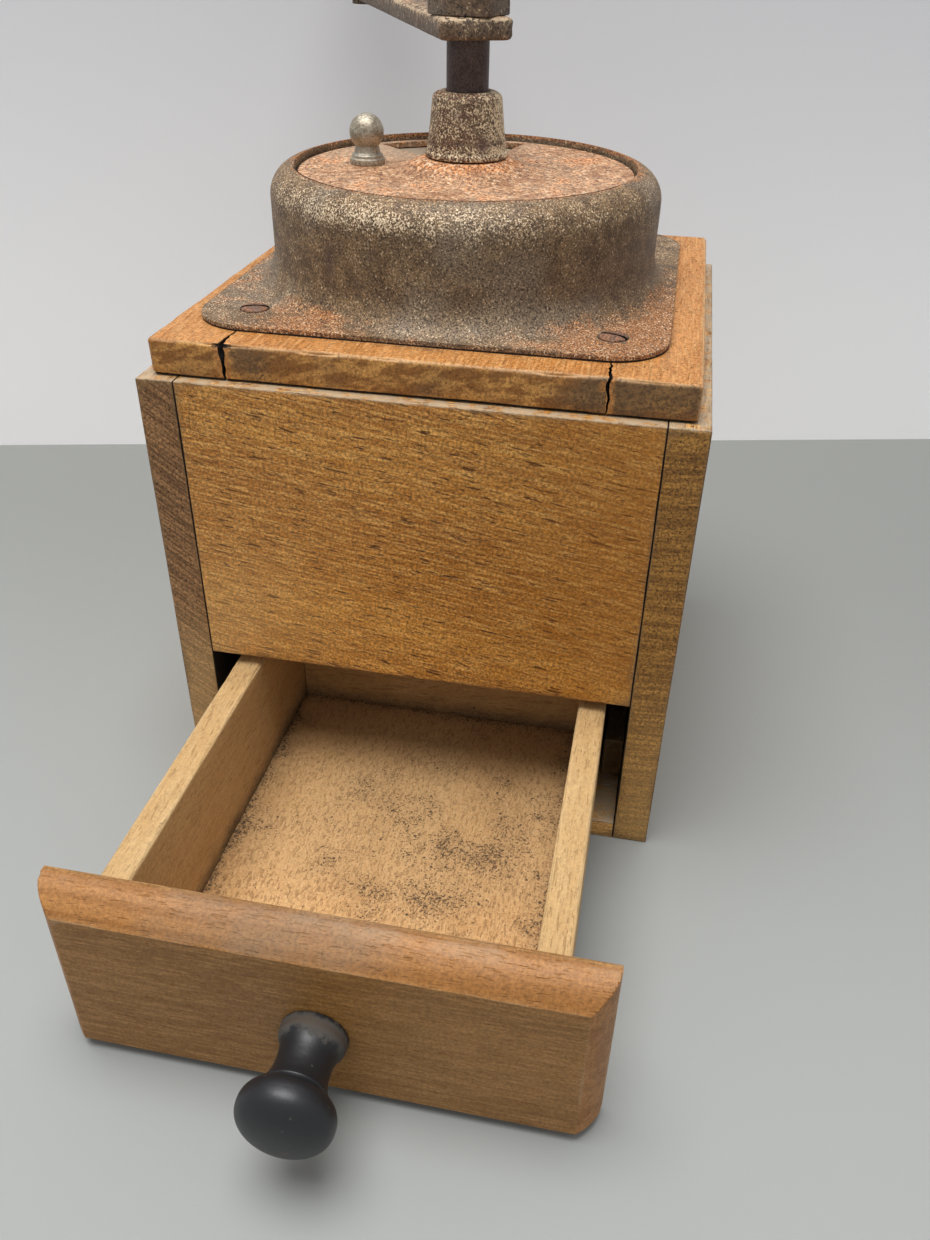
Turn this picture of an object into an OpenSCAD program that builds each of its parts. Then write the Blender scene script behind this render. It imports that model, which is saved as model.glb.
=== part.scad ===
// Box coffee mill with a hand crank, a closed metal hood and a drawer.
// Millimetres. Origin on the table at the middle of the case, +Z up, the drawer opens towards -Y.
// Everything stands as it was photographed: drawer pulled out, lid shut, crank swung to the back left.

/* [Case] */
// Outside width of the wooden case
case_w = 120; // [112:1:132]
// Outside depth of the case
case_d = 120; // [112:1:132]
// Height of the four upright panels
case_h = 113; // [110:1:126]
// Thickness of the side panels
side_t = 8.5; // [7:0.5:10]
// Thickness of the front and back panels
panel_t = 8; // [6:0.5:10]
// Thickness of the base board
base_t = 5; // [4:0.5:6]
// Height of the drawer opening's top edge above the table
opening_h = 43; // [40:0.5:47]
// Height of the strips that guide the drawer
guide_h = 12; // [8:1:18]
// Distance of the strips' front ends behind the front panel
guide_setback = 10; // [5:1:20]
// How far the top board's edge stands inside the panels' outer faces
top_inset = 2.7; // [1:0.1:4]
// Thickness of the top board
top_t = 8; // [7:0.5:12]

/* [Hood] */
// How far the mill's axis stands to the right of the case's middle
mill_x = -1.4; // [-2:0.1:2]
// How far the mill's axis stands behind the case's middle
mill_y = 2.3; // [-2:0.1:3]
// Width of the square flange
flange_w = 102.8; // [99:0.2:106]
// Corner radius of the flange
flange_corner_r = 13; // [8:1:16]
// Thickness of the hood's sheet metal
sheet_t = 1.2; // [0.8:0.1:1.5]
// Outside radius of the dome
dome_r = 45.6; // [43.6:0.2:46.4]
// Height of the dome's rim above the top board
dome_h = 26.4; // [24:0.2:32]
// Radius of the dome's soft shoulder
shoulder_r = 6.5; // [4:0.5:7.5]
// Radius of the sweep from the dome into the flange
foot_r = 4.5; // [2:0.5:5]
// Width of the rim round the sunk lid
rim_w = 6; // [5:0.2:7]
// Distance between the flange screws
screw_pitch = 79; // [76:1:82]
// Head diameter of the flange screws
screw_head_d = 6.2; // [5.5:0.1:7]
// Head height of the flange screws
screw_head_h = 1.9; // [1.6:0.1:2.4]
// Shank diameter of the flange screws
screw_d = 3; // [2.5:0.1:3.5]
// Length of the flange screws under the head's top
screw_l = 8.5; // [7:0.5:9]
// Height of the straight edge round a countersunk head
head_land = 0.7; // [0.6:0.1:0.9]
// Width of the slot in the flange screws
slot_w = 1; // [0.8:0.1:1.4]
// Depth of the slot in the flange screws
slot_depth = 0.5; // [0.3:0.1:0.5]

/* [Lid] */
// Thickness of the lid disc
lid_t = 1.2; // [0.8:0.1:1.6]
// Depth of the lid's top below the rim
lid_drop = 1.6; // [1:0.1:4]
// Inner radius of the fill window
window_in_r = 18; // [17:0.5:20]
// Outer radius of the fill window
window_out_r = 36.5; // [30:0.5:37]
// Angle that the fill window takes up
window_angle = 60; // [40:5:100]
// Distance of the lid knob from the mill's axis
lid_knob_reach = 23.8; // [20:0.2:30]
// Height of the lid knob
lid_knob_h = 10.8; // [10:0.2:14]
// Diameter of the lid knob's ball
lid_knob_ball_d = 8; // [7:0.2:9]
// Diameter of the lid knob's waist
lid_knob_waist_d = 5.6; // [4:0.2:6]
// Diameter of the lid knob's foot
lid_knob_foot_d = 8.2; // [7:0.2:10]
// Height of the lid knob's foot
lid_knob_foot_h = 1.9; // [1.5:0.1:2.5]
// Height of the lid's raised middle
boss_h = 2.7; // [1.5:0.1:4]
// Diameter of the raised middle at its foot
boss_foot_d = 31; // [24:0.5:33]
// Diameter of the raised middle at its top
boss_top_d = 20; // [18:0.2:23]

/* [Collar] */
// Diameter of the collar at its foot
collar_foot_d = 19; // [18:0.2:22]
// Diameter of the collar at its top
collar_top_d = 15.8; // [14.8:0.2:17]
// Height of the collar above the lid
collar_h = 13.5; // [12:0.1:18]
// Radius of the collar's top edge
collar_edge_r = 1.9; // [1:0.1:2.4]
// Diameter of the seat that the lid turns on
seat_d = 15; // [14:0.2:16]
// Diameter of the collar's stem through the hood
collar_stem_d = 13; // [12.6:0.2:13.6]
// Thickness of the nut that holds the collar
lock_nut_t = 4; // [3:0.5:5]
// Width of that nut across its flats
lock_nut_w = 19; // [17:0.5:22]

/* [Spindle and crank] */
// Diameter of the spindle
spindle_d = 9.5; // [8.5:0.1:10.5]
// Length of spindle that shows between collar and crank
spindle_show = 10.3; // [8:0.1:15]
// Length of spindle below the inner burr
spindle_below = 2; // [1:0.5:4]
// Side of the spindle's square end
square_w = 7; // [6.8:0.1:7.2]
// Diameter of the spindle's threaded top
thread_d = 6; // [5.5:0.1:6.5]
// Width of the crank nut across its flats
nut_w = 15.6; // [13:0.2:17]
// Height of the crank nut
nut_h = 8; // [6:0.5:10]
// Length of thread that stands out of the nut
thread_show = 1.5; // [0.5:0.5:3]
// Distance from the spindle's axis to the crank knob's axis
crank_l = 135; // [120:1:160]
// Width of the crank arm at the spindle
crank_w = 16.4; // [15:0.2:18]
// Width of the crank arm at the knob
crank_tip_w = 13; // [12:0.5:16]
// Thickness of the crank arm
crank_t = 4.4; // [4:0.1:6]
// Length of arm in front of the spindle's axis
crank_tail = 8.4; // [8:0.2:10]
// Radius of the arm's corners in front of the spindle
crank_corner_r = 2.2; // [1:0.2:3]
// Direction of the crank, counted from +X
crank_angle = 115; // [0:1:360]

/* [Crank knob] */
// Height of the crank knob
knob_h = 44; // [38:1:50]
// Greatest diameter of the crank knob
knob_d = 30; // [26:1:34]
// Diameter of the crank knob's waist
knob_waist_d = 17; // [16:0.5:20]
// Diameter of the crank knob's foot
knob_foot_d = 20; // [18:0.5:24]
// Height of the crank knob's foot
knob_foot_h = 4; // [3:0.5:6]
// Diameter of the pin that the knob turns on
pin_d = 6; // [5:0.2:7]
// Diameter of the pin's two heads
pin_head_d = 10; // [9:0.5:11]
// Thickness of the pin's heads
pin_head_t = 2; // [1.5:0.5:3]
// Diameter of the washer under the knob
washer_d = 14; // [12:0.5:16]
// Thickness of the washer
washer_t = 1; // [0.6:0.2:1.6]

/* [Mill] */
// Radius of the mill body's flange
mill_flange_r = 49; // [47.5:0.5:50]
// Thickness of the mill body's flange
mill_flange_t = 2; // [1.5:0.5:3]
// Inner radius of the funnel's mouth
funnel_r = 36; // [32:0.5:39]
// Wall thickness of the funnel and the burr housing
casting_t = 3; // [2.5:0.5:4]
// Depth of the funnel below the top board's upper face
funnel_h = 23; // [20:0.5:26]
// Outer radius of the burr ring
ring_r = 22; // [21.5:0.5:24]
// Height of the burr ring
ring_h = 18; // [16:0.5:20]
// Radius of the burr ring's throat
throat_r = 16.5; // [15.5:0.1:17]
// How much wider the burr ring is at its mouth than at the throat
ring_mouth_flare = 3; // [2:0.2:3.4]
// Height of the fine grinding band
fine_h = 6; // [4:0.5:7]
// How much the fine band widens downwards
fine_flare = 1.5; // [1:0.1:2]
// Radial grinding gap
grind_gap = 0.8; // [0.7:0.1:1.2]
// Height of the inner burr
burr_h = 20; // [18:0.5:22]
// Radius of the inner burr's top
burr_top_r = 8; // [7.5:0.1:10]
// Number of teeth in the burr ring
ring_teeth = 24; // [18:1:30]
// Number of teeth on the inner burr
burr_teeth = 12; // [8:1:14]
// Width of the grooves between the teeth
groove_w = 1.6; // [1:0.1:2]
// Depth of the grooves between the teeth
groove_depth = 1.4; // [1:0.1:1.6]
// Lean of the grooves between the teeth
groove_lean = 14; // [5:1:25]
// Diameter of the pin that drives the inner burr
drive_pin_d = 3; // [2:0.1:3.4]
// Height of the drive pin above the inner burr's foot
drive_pin_up = 15; // [12:0.5:16]
// Height of the lip that carries the burr ring
lip_h = 2; // [1.5:0.5:3]
// Width of that lip
lip_w = 2; // [1:0.5:2.5]

/* [Bridge and adjuster] */
// Distance from the axis to the bridge screws
ear_reach = 30; // [29:0.5:34]
// Width of the bridge and of the ears it hangs from
bridge_w = 12; // [12:0.5:14]
// Thickness of the bridge
bridge_t = 5; // [4:0.5:6]
// Height of the ears
ear_h = 8; // [6:0.5:10]
// Diameter of the bridge screws
bridge_screw_d = 4; // [3:0.2:4.4]
// Head diameter of the bridge screws
bridge_head_d = 7; // [6:0.5:8]
// Head height of the bridge screws
bridge_head_h = 2.5; // [2:0.5:3]
// Radius of the adjusting wheel
wheel_r = 12; // [10:0.5:14]
// Thickness of the adjusting wheel
wheel_t = 5; // [4.5:0.5:5.5]
// Number of finger grooves round the adjusting wheel
wheel_grooves = 20; // [16:1:24]
// Radius of a finger groove
wheel_groove_r = 1; // [0.6:0.1:1.2]
// Travel of the thrust stem each way
stem_travel = 1; // [0.5:0.1:1]
// Diameter of the thrust stem's thread
stem_d = 8; // [7:0.2:8.6]
// Side of the thrust stem's square end
stem_square_w = 7; // [6:0.2:7.2]
// Length of the square end below the bridge
stem_tail = 4; // [3:0.5:6]
// Diameter of the cup on the thrust stem
cup_d = 14; // [12:0.5:16]
// Thickness of the cup's floor
cup_floor_t = 2; // [1.5:0.5:2.5]
// Depth of the cup
cup_depth = 4; // [3:0.5:4]
// Diameter of the spindle's tip
tip_d = 6; // [5:0.2:7]

/* [Drawer] */
// Distance that the drawer stands open
drawer_out = 73; // [0:1:80]
// Outside width of the drawer's box
drawer_w = 92; // [84:1:94]
// Thickness of the drawer's side and back walls
wall_t = 6.5; // [5:0.5:8]
// Inside length of the drawer
drawer_inner_l = 102; // [80:1:104]
// Thickness of the drawer's floor
floor_t = 4; // [3:0.5:5]
// Room between the drawer's walls and the opening's top edge
head_room = 2.7; // [1.5:0.1:4]
// Width of the drawer's front board
front_w = 110; // [106:1:112]
// Thickness of the front board
front_t = 8.5; // [8:0.5:12]
// How far the front board laps over the opening's top edge
front_lap = 1; // [0.5:0.5:4]
// Height of the front board's lower edge above the table
front_foot = 2.5; // [0.5:0.5:4]
// Slope of the front board's bevel, across its face
bevel_w = 4.5; // [2:0.5:6]
// Thickness left at the bevel's edge
bevel_edge = 1.5; // [1:0.5:3]
// Length of the drawer knob
pull_l = 22; // [18:0.5:24]
// Diameter of the drawer knob's ball
pull_ball_d = 18.5; // [16:0.5:21]
// Length of the drawer knob's ball
pull_ball_l = 10.5; // [8:0.5:13]
// Diameter of the drawer knob's waist
pull_waist_d = 10.4; // [8.5:0.1:11]
// Diameter of the drawer knob's foot
pull_foot_d = 13.4; // [12:0.2:15]
// Length of the drawer knob's foot
pull_foot_l = 3; // [2:0.5:4]
// Height of the drawer knob on the front board, from the board's lower edge
pull_up = 17.5; // [15:0.5:24]
// Diameter of the screw in the drawer knob
pull_screw_d = 3.5; // [3:0.1:4]
// Head diameter of that screw
pull_screw_head_d = 6.5; // [6:0.1:7.5]
// Head height of that screw
pull_screw_head_h = 2; // [1.5:0.1:2.5]
// Length of that screw inside the knob
pull_screw_bite = 11; // [8:0.5:13]
// Diameter of the nails in the drawer's walls
nail_d = 1.4; // [1:0.1:1.8]
// Head diameter of the nails
nail_head_d = 2.8; // [2:0.1:3.4]
// Head thickness of the nails
nail_head_t = 0.6; // [0.4:0.1:0.8]
// Length of the nails
nail_l = 16; // [12:0.5:20]

/* [Clearances] */
// Radial room between a fixed pin, screw or press fit and its hole
fit_gap = 0.02; // [0.01:0.01:0.05]
// Radial room of a turning fit
turn_gap = 0.05; // [0.03:0.01:0.1]
// Room between faces that move past each other
slide_gap = 0.3; // [0.2:0.05:0.5]
// Room between the lid's edge and the hood's rim
lid_gap = 0.4; // [0.3:0.05:0.6]
// Room between the drawer's walls and the guide strips
side_play = 0.5; // [0.3:0.1:1]
// Room round the thrust stem's square end
square_play = 0.1; // [0.05:0.01:0.15]

/* [Hidden] */
$fn = 96;
cut = 1;

// Case
inner_w = case_w - 2 * side_t;
case_front = -case_d / 2;
case_back = case_d / 2 - panel_t;
guide_t = (inner_w - drawer_w) / 2 - side_play;
board_top = case_h + top_t;
board_w = case_w - 2 * top_inset;
board_d = case_d - 2 * top_inset;

// Hood, lid and collar
recess_r = dome_r - rim_w;
flange_bore_r = dome_r + fit_gap;
sweep_h = sheet_t + 0.7 * foot_r;
lid_top = board_top + dome_h - lid_drop;
lid_z = lid_top - lid_t;
deck_top = lid_z - slide_gap;
deck_z = deck_top - sheet_t;
collar_z = lid_top + boss_h + slide_gap;
collar_top = collar_z + collar_h;
lock_nut_z = deck_z - lock_nut_t;
deck_window = 270;
lid_window = 107;
lid_knob_angle = 180;

// Mill body and burrs
housing_r = ring_r + casting_t;
ring_top = board_top - funnel_h;
ring_z = ring_top - ring_h;
housing_z = ring_z - lip_h;
burr_r = throat_r - grind_gap;

// Thrust stem, adjusting wheel and bridge, each hung below the one before
spindle_foot = ring_z - spindle_below;
cup_top = spindle_foot - slide_gap;
cup_z = cup_top - cup_depth - cup_floor_t;
tip_z = cup_z + cup_floor_t + slide_gap;
wheel_top = cup_z - stem_travel - slide_gap;
wheel_z = wheel_top - wheel_t;
bridge_top = wheel_z - slide_gap;
bridge_z = bridge_top - bridge_t;
ear_end = ear_reach + bridge_w / 2;
square_top = bridge_top - stem_travel - slide_gap;
neck_d = min(stem_d, stem_square_w) - 2 * slide_gap;
neck_top = wheel_z + stem_travel;

// Spindle, crank and crank knob
crank_z = collar_top + spindle_show;
nut_z = crank_z + crank_t;
washer_top = nut_z + washer_t;
knob_z = washer_top + slide_gap;
knob_top = knob_z + knob_h;
pin_seat = knob_top - pin_head_t - slide_gap;

// Drawer
drawer_z = base_t + slide_gap;
wall_h = opening_h - head_room - drawer_z;
front_y = case_front - drawer_out;
drawer_back = front_y + drawer_inner_l;
front_h = opening_h + front_lap - front_foot;
pull_z = front_foot + pull_up;
drawer_inner_w = drawer_w - 2 * wall_t;

// Colours
beech = "#b07d3e";
pale_beech = "#d9a865";
worn_beech = "#c98f52";
black_wood = "#24221f";
rusty_sheet = "#7d6650";
rusty_lid = "#b57a55";
nickel = "#8f887a";
dark_iron = "#3a302a";

// Everything that stands on the mill's axis
module at_mill() {
    translate([mill_x, mill_y, 0])
        children();
}

// A block that stands centred on x, from y0 to y1 and z0 to z1
module block(w, y0, y1, z0, z1) {
    translate([-w / 2, y0, z0])
        cube([w, y1 - y0, z1 - z0]);
}

// A square with round corners, centred
module rounded_square(w, r) {
    square([w, w - 2 * r], center = true);
    square([w - 2 * r, w], center = true);
    for (x = [-1, 1], y = [-1, 1])
        translate([x * (w / 2 - r), y * (w / 2 - r)])
            circle(r);
}

// Half outline of an upright drum with a round shoulder
module drum_outline(r, h, shoulder) {
    square([r, h - shoulder]);
    square([r - shoulder, h]);
    translate([r - shoulder, h - shoulder])
        circle(shoulder);
}

// The same four places, one at each flange screw
module at_screws() {
    for (x = [-1, 1], y = [-1, 1])
        at_mill()
            translate([x * screw_pitch / 2, y * screw_pitch / 2, board_top + sheet_t])
                children();
}

// A countersunk screw hanging down from the origin, widened all round by room
module countersunk(head_d, head_h, shank_d, length, room) {
    translate([0, 0, -length])
        cylinder(d = shank_d + 2 * room, h = length - head_land);
    translate([0, 0, -head_h])
        cylinder(d1 = shank_d + 2 * room, d2 = head_d + 2 * room, h = head_h - head_land);
    translate([0, 0, -head_land])
        cylinder(d = head_d + 2 * room, h = head_land);
}

module flange_screw(room) {
    countersunk(screw_head_d, screw_head_h, screw_d, screw_l, room);
}

// A hexagon bar with its flats a given distance apart
module hexagon(flats, h) {
    cylinder(d = flats / cos(30), h = h, $fn = 6);
}

// A segment of a ring, centred on an angle
module window(angle, z0, z1) {
    far_x = 2 * window_out_r * cos(window_angle / 2);
    far_y = 2 * window_out_r * sin(window_angle / 2);
    translate([0, 0, z0])
        linear_extrude(z1 - z0)
            rotate(angle)
                intersection() {
                    difference() {
                        circle(window_out_r);
                        circle(window_in_r);
                    }
                    polygon([[0, 0], [far_x, -far_y], [far_x, far_y]]);
                }
}

// Half outline of a turned waist between two widths, hollowed by a round groove
module waist_outline(foot_r, waist_r, z0, z1) {
    groove_r = (z1 - z0) / 2;
    difference() {
        translate([0, z0])
            square([foot_r, z1 - z0]);
        translate([waist_r + groove_r, (z0 + z1) / 2])
            circle(groove_r);
    }
}

module side_panel(side) {
    color(beech)
        translate([side * (case_w - side_t) / 2, 0, 0])
            block(side_t, -case_d / 2, case_d / 2, 0, case_h);
}

module left_side_panel() {
    side_panel(-1);
}

module right_side_panel() {
    side_panel(1);
}

module front_panel() {
    color(beech)
        block(inner_w, case_front, case_front + panel_t, opening_h, case_h);
}

module back_panel() {
    color(beech)
        block(inner_w, case_back, case_d / 2, 0, case_h);
}

module base_board() {
    color(beech)
        block(inner_w, case_front, case_back, 0, base_t);
}

module guide_strip(side) {
    color(pale_beech)
        translate([side * (inner_w - guide_t) / 2, 0, 0])
            block(guide_t, case_front + panel_t + guide_setback, case_back, base_t, base_t + guide_h);
}

module left_guide_strip() {
    guide_strip(-1);
}

module right_guide_strip() {
    guide_strip(1);
}

module top_board() {
    color(worn_beech)
        difference() {
            block(board_w, -board_d / 2, board_d / 2, case_h, board_top);
            at_mill() {
                translate([0, 0, case_h - cut])
                    cylinder(r = funnel_r + casting_t + slide_gap, h = top_t + 2 * cut);
                translate([0, 0, board_top - mill_flange_t])
                    cylinder(r = mill_flange_r + fit_gap, h = mill_flange_t + cut);
            }
            at_screws() flange_screw(fit_gap);
        }
}

// Half outline of the dome, from its foot on the board to the rim round the lid
module dome_outline() {
    difference() {
        drum_outline(dome_r, dome_h, shoulder_r);
        intersection() {
            drum_outline(dome_r - sheet_t, dome_h - sheet_t, shoulder_r - sheet_t);
            square([dome_r, deck_z - board_top]);
        }
        square([recess_r, dome_h + cut]);
    }
}

module hood() {
    color(rusty_sheet)
        translate([mill_x, mill_y, board_top])
            rotate_extrude()
                intersection() {
                    dome_outline();
                    square(2 * dome_r);
                }
}

// Half outline of the sweep from the flange up to the dome
module sweep_outline() {
    difference() {
        translate([flange_bore_r, 0])
            square([foot_r, sweep_h]);
        translate([dome_r + foot_r, sheet_t + foot_r])
            circle(foot_r);
    }
}

module hood_flange() {
    color(rusty_sheet)
        difference() {
            translate([mill_x, mill_y, board_top]) {
                rotate_extrude()
                    sweep_outline();
                linear_extrude(sheet_t)
                    difference() {
                        rounded_square(flange_w, flange_corner_r);
                        circle(flange_bore_r);
                    }
            }
            at_screws() flange_screw(fit_gap);
        }
}

module hood_plate() {
    color(rusty_sheet)
        at_mill()
            difference() {
                translate([0, 0, deck_z])
                    cylinder(r = recess_r - fit_gap, h = sheet_t);
                translate([0, 0, deck_z - cut])
                    cylinder(d = collar_stem_d + 2 * fit_gap, h = sheet_t + 2 * cut);
                window(deck_window, deck_z - cut, deck_top + cut);
            }
}

module hood_screws() {
    color(rusty_sheet)
        at_screws()
            difference() {
                flange_screw(0);
                translate([-screw_head_d, -slot_w / 2, -slot_depth])
                    cube([2 * screw_head_d, slot_w, slot_depth + cut]);
            }
}

module collar_outline() {
    foot = collar_foot_d / 2;
    top = collar_top_d / 2;
    translate([0, collar_z])
        polygon([
            [0, 0],
            [foot, 0],
            [top, collar_h - collar_edge_r],
            [top - collar_edge_r, collar_h],
            [0, collar_h]
        ]);
    translate([top - collar_edge_r, collar_top - collar_edge_r])
        circle(collar_edge_r);
    translate([0, deck_top])
        square([seat_d / 2, collar_z - deck_top]);
    translate([0, lock_nut_z])
        square([collar_stem_d / 2, deck_top - lock_nut_z]);
}

module collar() {
    color(nickel)
        at_mill()
            difference() {
                rotate_extrude()
                    intersection() {
                        collar_outline();
                        square(2 * collar_top);
                    }
                translate([0, 0, lock_nut_z - cut])
                    cylinder(d = spindle_d + 2 * turn_gap, h = collar_top - lock_nut_z + 2 * cut);
            }
}

module collar_lock_nut() {
    color(dark_iron)
        at_mill()
            difference() {
                translate([0, 0, lock_nut_z])
                    hexagon(lock_nut_w, lock_nut_t);
                translate([0, 0, lock_nut_z - cut])
                    cylinder(d = collar_stem_d + 2 * fit_gap, h = lock_nut_t + 2 * cut);
            }
}

module lid_disc() {
    color(rusty_lid)
        at_mill()
            difference() {
                union() {
                    translate([0, 0, lid_z])
                        cylinder(r = recess_r - lid_gap, h = lid_t);
                    translate([0, 0, lid_top])
                        cylinder(d1 = boss_foot_d, d2 = boss_top_d, h = boss_h);
                }
                translate([0, 0, lid_z - cut])
                    cylinder(d = seat_d + 2 * turn_gap, h = lid_t + boss_h + 2 * cut);
                window(lid_window, lid_z - cut, lid_top + cut);
            }
}

module lid_knob() {
    foot_r = lid_knob_foot_d / 2;
    ball_r = lid_knob_ball_d / 2;
    ball_z = lid_knob_h - ball_r;
    color(nickel)
        at_mill()
            rotate(lid_knob_angle)
                translate([lid_knob_reach, 0, lid_top])
                    rotate_extrude()
                        intersection() {
                            union() {
                                square([foot_r, lid_knob_foot_h]);
                                waist_outline(foot_r, lid_knob_waist_d / 2, lid_knob_foot_h, ball_z);
                                translate([0, ball_z])
                                    circle(ball_r);
                            }
                            square(lid_knob_h);
                        }
}

module at_ears() {
    for (side = [-1, 1])
        translate([side * ear_reach, 0, 0])
            children();
}

module mill_body() {
    mouth_z = board_top - mill_flange_t;
    color(dark_iron)
        at_mill()
            difference() {
                union() {
                    rotate_extrude()
                        polygon([
                            [funnel_r, board_top],
                            [ring_r + fit_gap, ring_top],
                            [ring_r + fit_gap, ring_z],
                            [ring_r - lip_w, ring_z],
                            [ring_r - lip_w, housing_z],
                            [housing_r, housing_z],
                            [housing_r, ring_top],
                            [funnel_r + casting_t, mouth_z],
                            [mill_flange_r, mouth_z],
                            [mill_flange_r, board_top]
                        ]);
                    difference() {
                        block(2 * ear_end, -bridge_w / 2, bridge_w / 2, housing_z, housing_z + ear_h);
                        translate([0, 0, housing_z - cut])
                            cylinder(r = housing_r - casting_t / 2, h = ear_h + 2 * cut);
                    }
                }
                at_ears()
                    translate([0, 0, housing_z - cut])
                        cylinder(d = bridge_screw_d + 2 * fit_gap, h = ear_h + 2 * cut);
            }
}

// A slanting groove at a radius, from z0 to z1, cut into a cone wall
module tooth_groove(r, z0, z1, lean) {
    translate([r, 0, (z0 + z1) / 2])
        rotate([lean, 0, 0])
            cube([2 * groove_depth, groove_w, 1.5 * (z1 - z0)], center = true);
}

module outer_burr() {
    mouth_r = throat_r + ring_mouth_flare;
    color(dark_iron)
        at_mill()
            difference() {
                rotate_extrude()
                    polygon([
                        [ring_r, ring_z],
                        [ring_r, ring_top],
                        [mouth_r, ring_top],
                        [throat_r, ring_z + fine_h],
                        [throat_r + fine_flare, ring_z]
                    ]);
                for (i = [0 : ring_teeth - 1])
                    rotate(i * 360 / ring_teeth)
                        tooth_groove(throat_r + fine_flare / 2, ring_z, ring_top, -groove_lean);
            }
}

module lower_bridge() {
    color(dark_iron)
        at_mill()
            difference() {
                union() {
                    block(2 * ear_end, -bridge_w / 2, bridge_w / 2, bridge_z, bridge_top);
                    at_ears()
                        block(bridge_w, -bridge_w / 2, bridge_w / 2, bridge_top, housing_z);
                }
                translate([0, 0, bridge_z - cut])
                    linear_extrude(bridge_t + 2 * cut)
                        square(stem_square_w + 2 * square_play, center = true);
                at_ears()
                    translate([0, 0, bridge_z - cut])
                        cylinder(d = bridge_screw_d + 2 * fit_gap, h = housing_z - bridge_z + 2 * cut);
            }
}

module bridge_screws() {
    color(nickel)
        at_mill()
            at_ears() {
                translate([0, 0, bridge_z - bridge_head_h])
                    cylinder(d = bridge_head_d, h = bridge_head_h);
                translate([0, 0, bridge_z])
                    cylinder(d = bridge_screw_d, h = housing_z + ear_h - bridge_z);
            }
}

module adjusting_wheel() {
    color(nickel)
        at_mill()
            difference() {
                translate([0, 0, wheel_z])
                    cylinder(r = wheel_r, h = wheel_t);
                translate([0, 0, wheel_z - cut])
                    cylinder(d = stem_d + 2 * turn_gap, h = wheel_t + 2 * cut);
                for (i = [0 : wheel_grooves - 1])
                    rotate(i * 360 / wheel_grooves)
                        translate([wheel_r, 0, wheel_z - cut])
                            cylinder(r = wheel_groove_r, h = wheel_t + 2 * cut);
            }
}

module thrust_stem() {
    tail_z = bridge_z - stem_tail;
    color(nickel)
        at_mill() {
            translate([0, 0, tail_z])
                linear_extrude(square_top - tail_z)
                    square(stem_square_w, center = true);
            translate([0, 0, square_top])
                cylinder(d = neck_d, h = neck_top - square_top);
            translate([0, 0, neck_top])
                cylinder(d = stem_d, h = cup_z - neck_top);
            difference() {
                translate([0, 0, cup_z])
                    cylinder(d = cup_d, h = cup_floor_t + cup_depth);
                translate([0, 0, cup_z + cup_floor_t])
                    cylinder(d = tip_d + 2 * turn_gap, h = cup_depth + cut);
            }
        }
}

// The cross hole for the drive pin, widened all round by room
module drive_pin_bar(length, room) {
    translate([-length / 2, 0, ring_z + drive_pin_up])
        rotate([0, 90, 0])
            cylinder(d = drive_pin_d + 2 * room, h = length);
}

module spindle() {
    color(dark_iron)
        at_mill()
            difference() {
                union() {
                    translate([0, 0, tip_z])
                        cylinder(d = tip_d, h = ring_z - tip_z);
                    translate([0, 0, spindle_foot])
                        cylinder(d = spindle_d, h = crank_z - spindle_foot);
                    rotate(crank_angle)
                        translate([0, 0, crank_z])
                            linear_extrude(crank_t)
                                square(square_w, center = true);
                    translate([0, 0, collar_top])
                        cylinder(d = thread_d, h = nut_z + nut_h + thread_show - collar_top);
                }
                drive_pin_bar(2 * spindle_d, fit_gap);
            }
}

module inner_burr() {
    color(dark_iron)
        at_mill()
            difference() {
                rotate_extrude()
                    polygon([
                        [spindle_d / 2 + fit_gap, ring_z],
                        [burr_r + fine_flare, ring_z],
                        [burr_r, ring_z + fine_h],
                        [burr_top_r, ring_z + burr_h],
                        [spindle_d / 2 + fit_gap, ring_z + burr_h]
                    ]);
                for (i = [0 : burr_teeth - 1])
                    rotate((i + 0.5) * 360 / burr_teeth)
                        tooth_groove(burr_r + fine_flare / 2, ring_z, ring_z + fine_h, groove_lean);
                drive_pin_bar(4 * burr_r, fit_gap);
            }
}

module drive_pin() {
    color(nickel)
        at_mill()
            drive_pin_bar(2 * burr_top_r, 0);
}

module at_knob() {
    at_mill()
        rotate(crank_angle)
            translate([crank_l, 0, 0])
                children();
}

// The arm's outline seen from above, with the spindle at the origin
module crank_plan() {
    half = crank_w / 2;
    inset = half - crank_corner_r;
    tail = crank_tail - crank_corner_r;
    polygon([[-crank_tail, -inset], [-tail, -half], [0, -half], [crank_l, -crank_tip_w / 2],
        [crank_l, crank_tip_w / 2], [0, half], [-tail, half], [-crank_tail, inset]]);
    for (side = [-1, 1])
        translate([-tail, side * inset])
            circle(crank_corner_r);
    translate([crank_l, 0])
        circle(d = crank_tip_w);
}

module crank_arm() {
    color(nickel)
        translate([mill_x, mill_y, crank_z])
            rotate(crank_angle)
                difference() {
                    linear_extrude(crank_t)
                        crank_plan();
                    translate([0, 0, -cut])
                        linear_extrude(crank_t + 2 * cut)
                            square(square_w + 2 * fit_gap, center = true);
                    translate([crank_l, 0, -cut])
                        cylinder(d = pin_d + 2 * fit_gap, h = crank_t + 2 * cut);
                }
}

module crank_nut() {
    edge_to_front = -79;
    color(nickel)
        at_mill()
            difference() {
                translate([0, 0, nut_z])
                    rotate(edge_to_front)
                        hexagon(nut_w, nut_h);
                translate([0, 0, nut_z - cut])
                    cylinder(d = thread_d + 2 * fit_gap, h = nut_h + 2 * cut);
            }
}

module knob_pin() {
    color(nickel)
        at_knob() {
            translate([0, 0, crank_z - pin_head_t])
                cylinder(d = pin_head_d, h = pin_head_t);
            translate([0, 0, crank_z])
                cylinder(d = pin_d, h = pin_seat + slide_gap - crank_z);
            translate([0, 0, pin_seat + slide_gap])
                cylinder(d = pin_head_d, h = pin_head_t);
        }
}

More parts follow.
